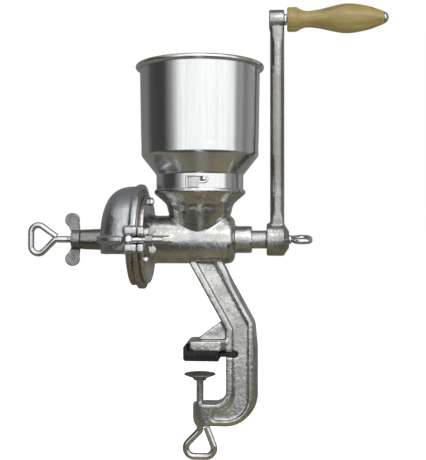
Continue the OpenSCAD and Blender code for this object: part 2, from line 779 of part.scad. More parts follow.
// Stands on the flange's seat, with its grinding face towards the cover
module stationary_burr() color(cast) against(seat_x) difference() {
    cylinder(r = fixed_burr_r, h = fixed_burr_t);
    translate([0, 0, -1]) cylinder(r = bore_r, h = fixed_burr_t + 2);
    translate([0, 0, fixed_burr_t]) furrow_field(fixed_burr_r);
    mirror([1, 0, 0]) burr_screw_places() rotate_extrude() burr_hole_outline();
}

// Half section of a burr screw's hole, with a seat for the head below the furrows
module burr_hole_outline() {
    shank = burr_screw_r + run_fit;
    head = burr_head_r + run_fit;
    seat_top = fixed_burr_t - burr_head_sink;
    polygon([[0, -1], [shank, -1], [shank, seat_top - burr_head_h], [head, seat_top],
        [head, fixed_burr_t + 1], [0, fixed_burr_t + 1]]);
}

module burr_screws() color(steel) against(fixed_face_x + burr_head_sink) mirror([1, 0, 0])
    burr_screw_places() rotate([180, 0, 0]) {
        cylinder(r = burr_screw_r, h = fixed_burr_t + flange_t + burr_nut_t - burr_head_sink + screw_end);
        cylinder(r1 = burr_head_r, r2 = burr_screw_r, h = burr_head_h);
    }

module burr_nuts() color(steel) along(seat_x + flange_t) burr_screw_places() difference() {
    cylinder(r = burr_nut_r, h = burr_nut_t, $fn = 6);
    translate([0, 0, -1]) cylinder(r = burr_screw_r + run_fit, h = burr_nut_t + 2);
}

// Turns with the auger: a furrowed plate with a slotted driving hub on its back
module rotating_burr() color(cast) along(turning_back_x) difference() {
    eye_d = 2 * furrow_d;
    union() {
        cylinder(r = turning_burr_r, h = turning_burr_t);
        translate([0, 0, -drive_hub_h]) cylinder(r = drive_hub_r, h = drive_hub_h + lap);
    }
    translate([0, 0, -drive_hub_h - 1])
        cylinder(r = shaft_r + run_fit, h = drive_hub_h + turning_burr_t + 2);
    translate([0, 0, turning_burr_t - eye_d])
        cylinder(r1 = shaft_r + burr_land, r2 = bore_r + burr_land, h = eye_d + 0.01);
    translate([0, 0, turning_burr_t]) furrow_field(turning_burr_r);
    translate([-drive_hub_r - 1, -drive_pin_r - face_gap, -drive_hub_h - 1])
        cube([2 * drive_hub_r + 2, 2 * (drive_pin_r + face_gap), drive_hub_h + 1]);
}

module burr_drive_pin() color(steel) translate([drive_pin_x, 0, axis_z - drive_pin_len / 2])
    cylinder(r = drive_pin_r, h = drive_pin_len);

// Helical flight of the feed worm, left-handed, with its root sunk in the shaft
module flight(x0, x1) {
    per_turn = 20;
    steps = ceil(per_turn * (x1 - x0) / flight_pitch);
    tip_r = bore_r - flight_gap;
    core_r = shaft_r - flight_sink;
    core_t = 1.6 * flight_t;
    corners = [[core_r, -core_t / 2], [tip_r, -flight_t / 2], [tip_r, flight_t / 2], [core_r, core_t / 2]];
    skin([for (i = [0:steps]) let (a = -360 * i / per_turn, x = x0 + (x1 - x0) * i / steps)
        [for (c = corners) [x + c.y, c.x * cos(a), c.x * sin(a)]]]);
}

module auger() color(cast) difference() {
    end_len = hub_len - 1;
    union() {
        along(shaft_tail_x) cylinder(r = shaft_r, h = hub_x - shaft_tail_x);
        along(hub_x - lap) intersection() {
            cylinder(r = shaft_end_r, h = end_len + lap);
            translate([-shaft_flat, -shaft_r, 0]) cube([2 * shaft_r, 2 * shaft_r, end_len + lap]);
        }
        translate([0, 0, axis_z]) flight(fixed_face_x + flight_t, bearing_x - flight_room - flight_t);
    }
    along(shaft_tail_x - 1) cylinder(r = ball_r + face_gap, h = pocket_d + 1);
    translate([drive_pin_x, 0, axis_z - 2 * shaft_r]) cylinder(r = drive_pin_r + run_fit, h = 4 * shaft_r);
    along(hub_x + lap) cylinder(r = crank_screw_r + run_fit, h = end_len + 1);
}

module thrust_ball() color(steel) translate([ball_x, 0, axis_z]) sphere(ball_r);

module adjusting_screw() color(steel) {
    along(adjuster_eye_x) cylinder(r = adjuster_r, h = adjuster_tip_x - adjuster_eye_x);
    translate([adjuster_eye_x, 0, axis_z]) rotate([0, 0, 180]) rotate([90, 0, 0])
        wire_eye(adjuster_eye_len, adjuster_eye_w, adjuster_r - face_gap);
}

module lock_wing_nut() color(steel) against(lock_seat_x)
    wing_nut(lock_r, lock_len, adjuster_r + run_fit, lock_span, lock_len / 2, lock_blade, lock_blade_t);

// Rubber boot under the jaw plate, with a tongue that plugs into the spine
module jaw_pad() color(rubber) {
    end_x = -jaw_end - pad_wrap;
    width = jaw_w + 2 * pad_side;
    foot_bevel = 2;
    notch = notch_pitch / 2;
    pad_top = jaw_top - pad_drop;
    difference() {
        upright(width) polygon([[end_x, foot_bevel], [end_x + foot_bevel, 0], [pad_len, 0], [pad_len, pad_t],
            [-jaw_end, pad_t], [-jaw_end, pad_top], [-jaw_end - 1, pad_top], [end_x, pad_top - pad_wrap]]);
        both_sides() for (x = [end_x + foot_bevel + notch:notch_pitch:pad_len - notch])
            translate([x, -width / 2 - 1, -1]) cube([notch, notch + 1, pad_t / 2 + 1]);
    }
    translate([pad_len - lap, -bar_t / 2 - lap, tongue_z - tongue_t / 2])
        cube([spine_x + tongue_in - pad_len + lap, bar_t + 2 * lap, tongue_t]);
}

// Rod with a peened head that keeps the disc on its journal
module clamp_screw() color(steel) {
    shoulder_top = disc_z - face_gap;
    floor_z = -clamp_gap - disc_h / 2;
    translate([0, 0, clamp_eye_z]) cylinder(r = clamp_r, h = shoulder_top - clamp_eye_z);
    translate([0, 0, shoulder_top - lap])
        cylinder(r = journal_r, h = floor_z + 2 * face_gap - shoulder_top + lap);
    translate([0, 0, floor_z + face_gap]) cylinder(r1 = clamp_r + 1, r2 = journal_r, h = disc_h / 4);
    translate([0, 0, clamp_eye_z]) rotate([0, 90, 0]) rotate([90, 0, 0])
        wire_eye(clamp_eye_len, clamp_eye_w, clamp_r - face_gap);
}

module clamp_disc() color(steel) translate([0, 0, disc_z]) rotate_extrude() {
    edge = 1.2;
    floor_r = clamp_r + 2;
    hub = floor_r + lap;
    polygon([[journal_r + run_fit, 0], [hub, 0], [hub + 1, disc_h / 3],
        [disc_r, disc_h - edge], [disc_r, disc_h], [disc_r - edge, disc_h], [floor_r, disc_h / 2],
        [journal_r + run_fit, disc_h / 2]]);
}

// Hub, tapered bar and head of the crank
module bar_end(x, z, w, h) {
    for (i = [arm_round, arm_t - arm_round], y = [arm_round - w / 2, w / 2 - arm_round])
        translate([x + i, y, z]) cylinder(r = arm_round, h = h, $fn = hull_fn);
}

module crank_arm() color(cast) difference() {
    arm_x = hub_end_x - arm_t;
    union() {
        along(hub_x) cylinder(r = hub_r, h = hub_len);
        along(hub_end_x) cylinder(r1 = hub_r - 1, r2 = hub_r / 2, h = hub_cone);
        hull() {
            bar_end(arm_x, axis_z, arm_w, 1);
            bar_end(arm_x, grip_z - 1, arm_top_w, 1);
        }
        translate([0, 0, throw]) along(hub_end_x - head_len) cylinder(r = head_r, h = head_len);
    }
    along(hub_x - 1) intersection() {
        cylinder(r = shaft_end_r + run_fit, h = hub_len);
        translate([-shaft_flat - run_fit, -hub_r, 0]) cube([hub_r, 2 * hub_r, hub_len]);
    }
    along(hub_x) cylinder(r = crank_screw_r + run_fit, h = hub_len + hub_cone + 1);
    translate([0, 0, throw]) along(hub_end_x - head_len - 1)
        cylinder(r = grip_bolt_r + run_fit, h = head_len + 2);
}

module crank_screw() color(steel) {
    collar_h = 2;
    collar_out = 1.6;
    shank_x = hub_x + hub_len / 3;
    along(shank_x) cylinder(r = crank_screw_r, h = cone_end_x - shank_x + lap);
    along(cone_end_x) cylinder(r = crank_screw_r + collar_out, h = collar_h);
    translate([cone_end_x + collar_h, 0, axis_z]) rotate([crank_eye_tilt, 0, 0])
        wire_eye(crank_eye_len - collar_h, crank_eye_w, crank_screw_r);
}

// Smooth curve through the points, for the turned outline of the grip
function smooth(a, b, c, d, t) =
    b + 0.5 * t * (c - a + t * (2 * a - 5 * b + 4 * c - d + t * (3 * (b - c) + d - a)));
function through(pts, steps) =
    let (n = len(pts) - 1)
    concat([for (i = [0:n - 1], k = [0:steps - 1])
        smooth(pts[max(i - 1, 0)], pts[i], pts[i + 1], pts[min(i + 2, n)], k / steps)], [pts[n]]);

module grip() color(wood) translate([0, 0, throw]) difference() {
    neck_at = grip_collar + grip_neck_len;
    fall_at = (grip_swell_at + grip_len) / 2 + 2;
    curve = through([[grip_collar_r, grip_collar], [grip_neck_r, neck_at],
        [grip_neck_r + 1, neck_at + grip_slim], [grip_swell_r, grip_swell_at],
        [grip_swell_r - grip_fall, fall_at], [grip_end_r, grip_len]], bend_steps);
    along(grip_x) rotate_extrude()
        polygon(concat([[0, 0], [grip_collar_r - 1, 0], [grip_collar_r, 1]], curve, [[0, grip_len]]));
    along(grip_x - 1) cylinder(r = grip_bolt_r + run_fit, h = grip_len + 2);
}

module grip_bolt() color(steel) translate([0, 0, throw]) {
    cap_r = grip_end_r - 0.4;
    cap_x = grip_end_x + face_gap;
    ball = (cap_r * cap_r + grip_cap_h * grip_cap_h) / (2 * grip_cap_h);
    along(hub_end_x - head_len) cylinder(r = grip_bolt_r, h = cap_x - hub_end_x + head_len + lap);
    along(cap_x) rotate_extrude() intersection() {
        translate([0, grip_cap_h - ball]) circle(ball);
        square([cap_r, grip_cap_h]);
    }
}

module grip_lock_nut() color(steel) translate([0, 0, throw]) along(grip_nut_x) difference() {
    cylinder(r = grip_nut_w / sqrt(3), h = grip_nut_t, $fn = 6);
    translate([0, 0, -1]) cylinder(r = grip_bolt_r + run_fit, h = grip_nut_t + 2);
}

mill_body();
hopper();
cover();
cover_hinge_pins();
front_swing_bolt();
rear_swing_bolt();
front_wing_nut();
rear_wing_nut();
stationary_burr();
burr_screws();
burr_nuts();
rotating_burr();
burr_drive_pin();
auger();
thrust_ball();
adjusting_screw();
lock_wing_nut();
jaw_pad();
clamp_screw();
clamp_disc();
crank_arm();
crank_screw();
grip();
grip_bolt();
grip_lock_nut();
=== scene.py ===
import math

import bmesh
import bpy
from mathutils import Matrix, Vector


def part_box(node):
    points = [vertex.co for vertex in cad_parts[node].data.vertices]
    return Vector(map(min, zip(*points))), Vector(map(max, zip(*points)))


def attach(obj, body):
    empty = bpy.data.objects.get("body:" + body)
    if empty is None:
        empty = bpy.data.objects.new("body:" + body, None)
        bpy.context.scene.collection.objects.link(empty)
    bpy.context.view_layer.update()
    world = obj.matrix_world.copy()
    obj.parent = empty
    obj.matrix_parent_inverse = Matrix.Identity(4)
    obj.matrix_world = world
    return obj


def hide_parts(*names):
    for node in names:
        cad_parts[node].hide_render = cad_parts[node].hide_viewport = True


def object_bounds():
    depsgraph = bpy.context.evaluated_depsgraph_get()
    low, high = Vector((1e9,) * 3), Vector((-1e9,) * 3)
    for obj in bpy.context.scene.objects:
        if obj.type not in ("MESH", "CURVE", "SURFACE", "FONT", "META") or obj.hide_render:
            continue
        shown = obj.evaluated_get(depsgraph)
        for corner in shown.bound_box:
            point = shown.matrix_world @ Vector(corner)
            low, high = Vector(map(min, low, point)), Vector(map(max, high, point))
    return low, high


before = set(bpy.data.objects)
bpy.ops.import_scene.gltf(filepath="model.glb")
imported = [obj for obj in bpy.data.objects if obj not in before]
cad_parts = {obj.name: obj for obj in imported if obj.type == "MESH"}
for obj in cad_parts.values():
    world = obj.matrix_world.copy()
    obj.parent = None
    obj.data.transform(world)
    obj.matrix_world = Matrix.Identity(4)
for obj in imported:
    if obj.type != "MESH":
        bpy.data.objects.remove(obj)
cadLow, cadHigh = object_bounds()
print("frame loaded:", len(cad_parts), "nodes")

scene = bpy.context.scene
scene.view_settings.view_transform = "Standard"
mm = 0.001
mergeGap = 0.002 * mm   # points closer than this become one
lumpSize = 6 * mm   # of the castings' uneven skin
rodSides = 48
smoothAngles = {"plain": 35, "thread": 38, "turned": 40}   # steeper edges stay sharp
ballLow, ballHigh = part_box("thrust_ball")
axisZ = (ballLow.z + ballHigh.z) / 2   # height of the shaft

# Objects and meshes

def newObject(name, data):
    obj = bpy.data.objects.new(name, data)
    scene.collection.objects.link(obj)
    return obj

def objectFrom(bm, name, smoothAngle=smoothAngles["plain"]):
    mesh = bpy.data.meshes.new(name)
    bm.to_mesh(mesh)
    bm.free()
    mesh.shade_smooth()
    mesh.set_sharp_from_angle(angle=math.radians(smoothAngle))
    return newObject(name, mesh)

def turned(degrees, axis):
    return Matrix.Rotation(math.radians(degrees), 4, axis)

# The object's modifiers become its mesh
def settle(obj):
    depsgraph = bpy.context.evaluated_depsgraph_get()
    settled = bpy.data.meshes.new_from_object(obj.evaluated_get(depsgraph))
    obj.modifiers.clear()
    obj.data = settled

def mergedCopy(node):
    bm = bmesh.new()
    bm.from_mesh(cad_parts[node].data)
    bmesh.ops.remove_doubles(bm, verts=bm.verts, dist=mergeGap)
    for layer in list(bm.loops.layers.float_vector.values()):   # stored normals go
        bm.loops.layers.float_vector.remove(layer)
    return bm

# A casting: the node's shape with soft corners and a slightly uneven skin, crowned where asked
def castCopy(name, given, crown=None):
    obj = objectFrom(mergedCopy(given["node"]), name)
    skin = obj.modifiers.new("skin", "REMESH")
    skin.mode = "VOXEL"
    skin.voxel_size = given["voxel"]
    soft = obj.modifiers.new("soft", "SMOOTH")
    soft.iterations = given["soften"]
    if crown:
        settle(obj)
        crown(obj)
    if "keep" in given:
        thin = obj.modifiers.new("thin", "DECIMATE")
        thin.ratio = given["keep"]
    if "swell" in given:
        lumps = bpy.data.textures.new(name + "Lumps", "CLOUDS")
        lumps.noise_scale = lumpSize
        uneven = obj.modifiers.new("uneven", "DISPLACE")
        uneven.texture = lumps
        uneven.texture_coords = "LOCAL"
        uneven.strength = given["swell"]
    settle(obj)
    obj.data.shade_smooth()
    return obj

# A machined piece: the node's shape with its sharp edges broken, angles in degrees
def trimCopy(name, node, chamfer, sharpFrom=32, flatWithin=1):
    bm = mergedCopy(node)
    bmesh.ops.dissolve_limit(bm, angle_limit=math.radians(flatWithin), verts=bm.verts, edges=bm.edges)
    sharp = [e for e in bm.edges
             if len(e.link_faces) == 2 and e.calc_face_angle() > math.radians(sharpFrom)]
    bmesh.ops.bevel(bm, geom=sharp, offset=chamfer, segments=2, profile=0.5, affect="EDGES",
                    material=-1, clamp_overlap=True)
    return objectFrom(bm, name)

# Round piece from a [radius, height] outline turned about +Z, a bare skin if not closed
def turnOutline(outline, steps, closed=True):
    bm = bmesh.new()
    verts = [bm.verts.new((r, 0, z)) for r, z in outline]
    pairs = list(zip(verts, verts[1:]))
    if closed:
        pairs.append((verts[-1], verts[0]))
    edges = [bm.edges.new(pair) for pair in pairs]
    bmesh.ops.spin(bm, geom=verts + edges, cent=(0, 0, 0), axis=(0, 0, 1), angle=math.tau, steps=steps,
                   use_merge=True)
    bmesh.ops.remove_doubles(bm, verts=bm.verts, dist=mergeGap)
    bmesh.ops.recalc_face_normals(bm, faces=bm.faces)
    return bm

# Points of an arc that rounds the corner b between a and c
def roundCorner(a, b, c, radius, steps):
    a, b, c = Vector(a), Vector(b), Vector(c)
    u, w = (a - b).normalized(), (c - b).normalized()
    half = u.angle(w) / 2
    centre = b + (u + w).normalized() * radius / math.sin(half)
    first = b + u * radius / math.tan(half) - centre
    last = b + w * radius / math.tan(half) - centre
    turn = math.pi - 2 * half
    points = []
    for i in range(steps + 1):
        t = i / steps
        arm = first * math.sin(turn * (1 - t)) + last * math.sin(turn * t)
        points.append(centre + arm / math.sin(turn))
    return points

# Points of an arc between two angles in degrees
def arcPoints(centre, radius, start, end, steps):
    angles = [math.radians(start + (end - start) * i / steps) for i in range(steps + 1)]
    return [Vector((centre[0] + radius * math.cos(a), centre[1] + radius * math.sin(a))) for a in angles]

# Smooth curve through a few points
def smoothCurve(points, steps):
    points = [Vector(p) for p in points]
    ends = [points[0]] + points + [points[-1]]
    curve = []
    for a, b, c, d in zip(ends, ends[1:], ends[2:], ends[3:]):
        for i in range(steps):
            t = i / steps
            bend = 2 * a - 5 * b + 4 * c - d + t * (3 * (b - c) + d - a)
            curve.append(b + 0.5 * t * (c - a + t * bend))
    return curve + [points[-1]]

# Round wire along a path of [x, y] or [x, y, z] points
def wireMesh(path, radius, sides):
    curve = bpy.data.curves.new("wire", "CURVE")
    curve.dimensions = "3D"
    curve.bevel_depth = radius
    curve.bevel_resolution = sides // 4
    curve.use_fill_caps = True
    spline = curve.splines.new("POLY")
    spline.points.add(len(path) - 1)
    for point, place in zip(spline.points, path):
        point.co = (*place, 0, 1) if len(place) == 2 else (*place, 1)
    shape = newObject("wire", curve)
    mesh = bpy.data.meshes.new_from_object(shape.evaluated_get(bpy.context.evaluated_depsgraph_get()))
    bpy.data.objects.remove(shape)
    bpy.data.curves.remove(curve)
    bm = bmesh.new()
    bm.from_mesh(mesh)
    bpy.data.meshes.remove(mesh)
    bmesh.ops.remove_doubles(bm, verts=bm.verts, dist=mergeGap)
    bmesh.ops.recalc_face_normals(bm, faces=bm.faces)
    return bm

# A closed section swept up a helix about +Z
def sweepHelix(bm, section, turns, rise, steps):
    face = bm.faces.new(section)
    bmesh.ops.spin(bm, geom=section + list(face.edges) + [face], cent=(0, 0, 0), axis=(0, 0, 1),
                   dvec=(0, 0, rise), angle=math.tau * turns, steps=steps)
    bmesh.ops.recalc_face_normals(bm, faces=bm.faces)

# Depth, sunk root and flanks as shares of the pitch
threadSet = {"depth": 0.24, "sunk": 0.15, "flanks": (0.06, 0.36, 0.58, 0.88), "perTurn": 28}

# Rod along +Z, plain at its foot and threaded from there to its end
def threadedRod(radius, length, plain, pitch, chamfer):
    depth = threadSet["depth"] * pitch
    core = radius - depth
    outline = [(0, 0), (radius - chamfer, 0), (radius, chamfer), (radius, plain), (core, plain + depth / 2),
               (core, length - chamfer), (core - chamfer, length), (0, length)]
    bm = turnOutline(outline, rodSides)
    sunk = core - threadSet["sunk"] * pitch
    ridge = [bm.verts.new((r, 0, plain + share * pitch)) for r, share in
             zip((sunk, radius, radius, sunk), threadSet["flanks"])]
    turns = (length - plain) / pitch - 1
    sweepHelix(bm, ridge, turns, pitch / threadSet["perTurn"], round(threadSet["perTurn"] * turns))
    return bm

def joinInto(bm, other, place=None):
    if place:
        bmesh.ops.transform(other, matrix=place, verts=other.verts)
    spare = bpy.data.meshes.new("spare")
    other.to_mesh(spare)
    other.free()
    bm.from_mesh(spare)
    bpy.data.meshes.remove(spare)

def dress(obj, material, body, slotName, *nodes):
    obj.data.materials.clear()
    obj.data.materials.append(material)
    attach(obj, body)
    if nodes:
        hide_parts(*nodes)
    print("piece", obj.name, sum(len(p.vertices) - 2 for p in obj.data.polygons), "triangles")

# Shader helpers

# A node group with a vector and numbers in, and numbers out
def makeGroup(name, outputs, **inputs):
    tree = bpy.data.node_groups.new(name, "ShaderNodeTree")
    tree.interface.new_socket("Vector", in_out="INPUT", socket_type="NodeSocketVector")
    for label, value in inputs.items():
        socket = tree.interface.new_socket(label, in_out="INPUT", socket_type="NodeSocketFloat")
        socket.default_value = value
    for label in outputs:
        tree.interface.new_socket(label, in_out="OUTPUT", socket_type="NodeSocketFloat")
    return tree, tree.nodes.new("NodeGroupInput"), tree.nodes.new("NodeGroupOutput")

# A socket takes a number, a colour or another node's output
def giveSocket(tree, socket, value):
    if isinstance(value, tuple):
        socket.default_value = (*value, 1)
    elif isinstance(value, (int, float)):
        socket.default_value = value
    else:
        tree.links.new(value, socket)

def mathNode(tree, operation, a, b):
    node = tree.nodes.new("ShaderNodeMath")
    node.operation = operation
    for socket, value in zip(node.inputs, (a, b)):
        giveSocket(tree, socket, value)
    return node.outputs[0]

def addShares(tree, a, b, shareA, shareB):
    partA = mathNode(tree, "MULTIPLY", a, shareA)
    partB = mathNode(tree, "MULTIPLY", b, shareB)
    return mathNode(tree, "ADD", partA, partB)

def rangeNode(tree, value, low, high, toLow=0.0, toHigh=1.0):
    node = tree.nodes.new("ShaderNodeMapRange")
    node.interpolation_type = "SMOOTHSTEP"
    tree.links.new(value, node.inputs["Value"])
    for label, number in (("From Min", low), ("From Max", high), ("To Min", toLow), ("To Max", toHigh)):
        node.inputs[label].default_value = number
    return node.outputs[0]

def noiseNode(tree, vector, scale, detail=2.0, roughness=0.5, distortion=0.0):
    node = tree.nodes.new("ShaderNodeTexNoise")
    tree.links.new(vector, node.inputs["Vector"])
    for label, value in (("Scale", scale), ("Detail", detail), ("Roughness", roughness),
                         ("Distortion", distortion)):
        giveSocket(tree, node.inputs[label], value)
    return node.outputs["Fac"]

def mixColour(tree, fac, a, b):
    node = tree.nodes.new("ShaderNodeMix")
    node.data_type = "RGBA"
    for index, value in ((0, fac), (6, a), (7, b)):   # the inputs of a colour mix
        giveSocket(tree, node.inputs[index], value)
    return node.outputs[2]

grainSet = {"patches": 0.3, "heightShares": (0.8, 0.2), "mottleShares": (0.6, 0.4), "mottle": (0.38, 0.62)}

# Sand grain of a casting: a mottle for colour and roughness, a height for bump
def castGrainGroup():
    tree, given, made = makeGroup("castGrain", ("Mottle", "Height"), Coarse=380.0, Fine=1300.0)
    vector, coarseScale = given.outputs["Vector"], given.outputs["Coarse"]
    patchScale = mathNode(tree, "MULTIPLY", coarseScale, grainSet["patches"])
    coarse = noiseNode(tree, vector, coarseScale, roughness=0.45, distortion=0.4)
    fine = noiseNode(tree, vector, given.outputs["Fine"])
    patches = noiseNode(tree, vector, patchScale, detail=3.0)
    mottle = addShares(tree, patches, fine, *grainSet["mottleShares"])
    tree.links.new(rangeNode(tree, mottle, *grainSet["mottle"]), made.inputs["Mottle"])
    tree.links.new(addShares(tree, coarse, fine, *grainSet["heightShares"]), made.inputs["Height"])
    return tree

wearSheenShadeSet = {"patches": 160.0, "wearAndSheen": (0.515, 0.57), "broken": (0.25, 0.55, 0.45, 1.0), "paintedShade": (0.49, 0.43)}

# Paler convex edges, partly wear and partly a painted highlight, and painted shade in hollows and corners
def edgeWearSheenShadeGroup():
    tree, given, made = makeGroup("edgeWearSheenShade", ("WearAndSheen", "PaintedShade"))
    pointed = tree.nodes.new("ShaderNodeNewGeometry").outputs["Pointiness"]
    patches = noiseNode(tree, given.outputs["Vector"], wearSheenShadeSet["patches"], detail=3.0)
    wearAndSheen = rangeNode(tree, pointed, *wearSheenShadeSet["wearAndSheen"])
    broken = mathNode(tree, "MULTIPLY", wearAndSheen, rangeNode(tree, patches, *wearSheenShadeSet["broken"]))
    tree.links.new(broken, made.inputs["WearAndSheen"])
    tree.links.new(rangeNode(tree, pointed, *wearSheenShadeSet["paintedShade"]), made.inputs["PaintedShade"])
    return tree

lineSet = {"hazeScale": 0.12, "haze": (0.35, 0.65)}

# Fine lines left by spinning, drawing or turning, also used for painted reflection streaks, along the
# stretched axis of the vector
def toolLinesGroup():
    tree, given, made = makeGroup("toolLines", ("Lines", "Haze"), Scale=1.0)
    vector, scale = given.outputs["Vector"], given.outputs["Scale"]
    hazeScale = mathNode(tree, "MULTIPLY", scale, lineSet["hazeScale"])
    haze = noiseNode(tree, vector, hazeScale, detail=3.0)
    tree.links.new(noiseNode(tree, vector, scale, detail=4.0, roughness=0.75), made.inputs["Lines"])
    tree.links.new(rangeNode(tree, haze, *lineSet["haze"]), made.inputs["Haze"])
    return tree

castGrain, edgeWearSheenShade, toolLines = castGrainGroup(), edgeWearSheenShadeGroup(), toolLinesGroup()

def placeGroup(tree, group, vector, **values):
    node = tree.nodes.new("ShaderNodeGroup")
    node.node_tree = group
    tree.links.new(vector, node.inputs["Vector"])
    for key, value in values.items():
        node.inputs[key].default_value = value
    return node

# A new material: its tree, its shader and its Object coordinates
def startMaterial(name, **values):
    material = bpy.data.materials.new(name)
    material.use_nodes = True
    tree = material.node_tree
    shader = tree.nodes["Principled BSDF"]
    for key, value in values.items():
        shader.inputs[key.replace("_", " ")].default_value = value
    return material, tree, shader, tree.nodes.new("ShaderNodeTexCoord").outputs["Object"]

def stretchNode(tree, vector, scale):
    mapping = tree.nodes.new("ShaderNodeMapping")
    mapping.inputs["Scale"].default_value = scale
    tree.links.new(vector, mapping.inputs["Vector"])
    return mapping.outputs["Vector"]

# The shader takes its colour, roughness and bump
def finishLook(tree, shader, colour, roughness, height, strength, distance):
    bump = tree.nodes.new("ShaderNodeBump")
    bump.inputs["Strength"].default_value = strength
    bump.inputs["Distance"].default_value = distance
    tree.links.new(height, bump.inputs["Height"])
    tree.links.new(colour, shader.inputs["Base Color"])
    tree.links.new(roughness, shader.inputs["Roughness"])
    tree.links.new(bump.outputs["Normal"], shader.inputs["Normal"])

castingDepth = 1.2 * mm   # of the castings' bump
# Per look: the edge colour is worn edges with a painted highlight, the shade colour is painted shade in
# hollows and corners, and a band, where given, darkens one stretch as painted shade
castingLooks = {
    "body": {"dark": (0.45, 0.455, 0.44), "light": (0.66, 0.665, 0.65), "edge": (0.90, 0.90, 0.89),
             "paintedShade": (0.30, 0.285, 0.245), "coarse": 240.0, "fine": 900.0, "bump": 0.26, "smooth": 0.17,
             "rough": 0.30},
    "cover": {"dark": (0.47, 0.485, 0.505), "light": (0.62, 0.635, 0.655), "edge": (0.84, 0.84, 0.83),
              "paintedShade": (0.24, 0.235, 0.22), "coarse": 200.0, "fine": 800.0, "bump": 0.30, "smooth": 0.26,
              "rough": 0.36,
              "paintedShadeBand": {"axis": "X", "start": (-0.5, -0.4), "end": (-0.102, -0.095), "amount": 0.9}},
    "crank": {"dark": (0.32, 0.32, 0.305), "light": (0.48, 0.48, 0.465), "edge": (0.70, 0.70, 0.68),
              "paintedShade": (0.26, 0.25, 0.22), "coarse": 260.0, "fine": 1000.0, "bump": 0.30, "smooth": 0.22,
              "rough": 0.34,
              "paintedShadeBand": {"axis": "Z", "start": (0.15, 0.185), "end": (0.27, 0.31), "amount": 0.75}},
    "nut": {"dark": (0.22, 0.22, 0.215), "light": (0.34, 0.34, 0.33), "edge": (0.55, 0.55, 0.54),
            "paintedShade": (0.14, 0.135, 0.13), "coarse": 500.0, "fine": 1600.0, "bump": 0.35, "smooth": 0.30,
            "rough": 0.46},
    "iron": {"dark": (0.20, 0.175, 0.145), "light": (0.38, 0.345, 0.30), "edge": (0.55, 0.53, 0.50),
             "paintedShade": (0.08, 0.07, 0.055), "coarse": 420.0, "fine": 1500.0, "bump": 0.35, "smooth": 0.40,
             "rough": 0.60},
}

def castingMaterial(name, look):
    material, tree, shader, vector = startMaterial(name, Metallic=1.0)
    grain = placeGroup(tree, castGrain, vector, Coarse=look["coarse"], Fine=look["fine"])
    wearSheenShade = placeGroup(tree, edgeWearSheenShade, vector)
    colour = mixColour(tree, grain.outputs["Mottle"], look["dark"], look["light"])
    # Painted shade in hollows and corners
    colour = mixColour(tree, wearSheenShade.outputs["PaintedShade"], colour, look["paintedShade"])
    # Painted shade: one stretch along an axis is darkened towards the shade colour
    if "paintedShadeBand" in look:   # a stretch along one axis that is less bright
        paintedShadeBand = look["paintedShadeBand"]
        place = tree.nodes.new("ShaderNodeSeparateXYZ")
        tree.links.new(vector, place.inputs[0])
        along = place.outputs[paintedShadeBand["axis"]]
        share = mathNode(tree, "MULTIPLY", rangeNode(tree, along, *paintedShadeBand["start"]),
                         rangeNode(tree, along, *paintedShadeBand["end"], paintedShadeBand["amount"], 0.0))
        colour = mixColour(tree, share, colour, look["paintedShade"])
    # Paler convex edges: wear and a painted highlight
    colour = mixColour(tree, wearSheenShade.outputs["WearAndSheen"], colour, look["edge"])
    rough = rangeNode(tree, grain.outputs["Mottle"], 0, 1, look["rough"], look["smooth"])
    finishLook(tree, shader, colour, rough, grain.outputs["Height"], look["bump"], castingDepth)
    return material

sheetLook = {"dark": (0.70, 0.71, 0.715), "light": (0.80, 0.81, 0.815), "lines": 900.0, "reflectionStreaks": 260.0,
             "round": (0.03, 0.03, 1), "upright": (1, 1, 0.03), "limits": (0.3, 0.7), "smooth": 0.13,
             "rough": 0.22, "bump": 0.05, "depth": 0.3 * mm}

# Spinning lines run round the bowl in the bump; streaks that run up it are a painted reflection in the colour
# and also set the roughness
def sheetMaterial():
    look = sheetLook
    material, tree, shader, vector = startMaterial("spunSheet", Metallic=1.0)
    lines = placeGroup(tree, toolLines, stretchNode(tree, vector, look["round"]), Scale=look["lines"])
    lineLayer = placeGroup(tree, toolLines, stretchNode(tree, vector, look["upright"]), Scale=look["reflectionStreaks"])
    reflectionStreaks = lineLayer.outputs["Lines"]
    # Painted reflection: the upright streaks lighten and darken the colour
    colour = mixColour(tree, rangeNode(tree, reflectionStreaks, *look["limits"]), look["dark"], look["light"])
    rough = rangeNode(tree, reflectionStreaks, *look["limits"], look["rough"], look["smooth"])
    finishLook(tree, shader, colour, rough, lines.outputs["Lines"], look["bump"], look["depth"])
    return material

# The edge colour is worn edges with a painted highlight; the shade colour is painted shade in hollows
zincLook = {"dark": (0.48, 0.49, 0.50), "light": (0.72, 0.73, 0.74), "edge": (0.85, 0.85, 0.85),
            "paintedShade": (0.18, 0.18, 0.17), "lines": 1400.0, "limits": (0.3, 0.7), "smooth": 0.09,
            "rough": 0.20, "bump": 0.06, "depth": 0.3 * mm}

def zincMaterial():
    look = zincLook
    material, tree, shader, vector = startMaterial("zincSteel", Metallic=1.0)
    lineLayer = placeGroup(tree, toolLines, vector, Scale=look["lines"])
    wearSheenShade = placeGroup(tree, edgeWearSheenShade, vector)
    lines = lineLayer.outputs["Lines"]
    colour = mixColour(tree, lineLayer.outputs["Haze"], look["dark"], look["light"])
    # Painted shade in hollows and corners
    colour = mixColour(tree, wearSheenShade.outputs["PaintedShade"], colour, look["paintedShade"])
    # Paler convex edges: wear and a painted highlight
    colour = mixColour(tree, wearSheenShade.outputs["WearAndSheen"], colour, look["edge"])
    rough = rangeNode(tree, lines, *look["limits"], look["smooth"], look["rough"])
    finishLook(tree, shader, colour, rough, lines, look["bump"], look["depth"])
    return material

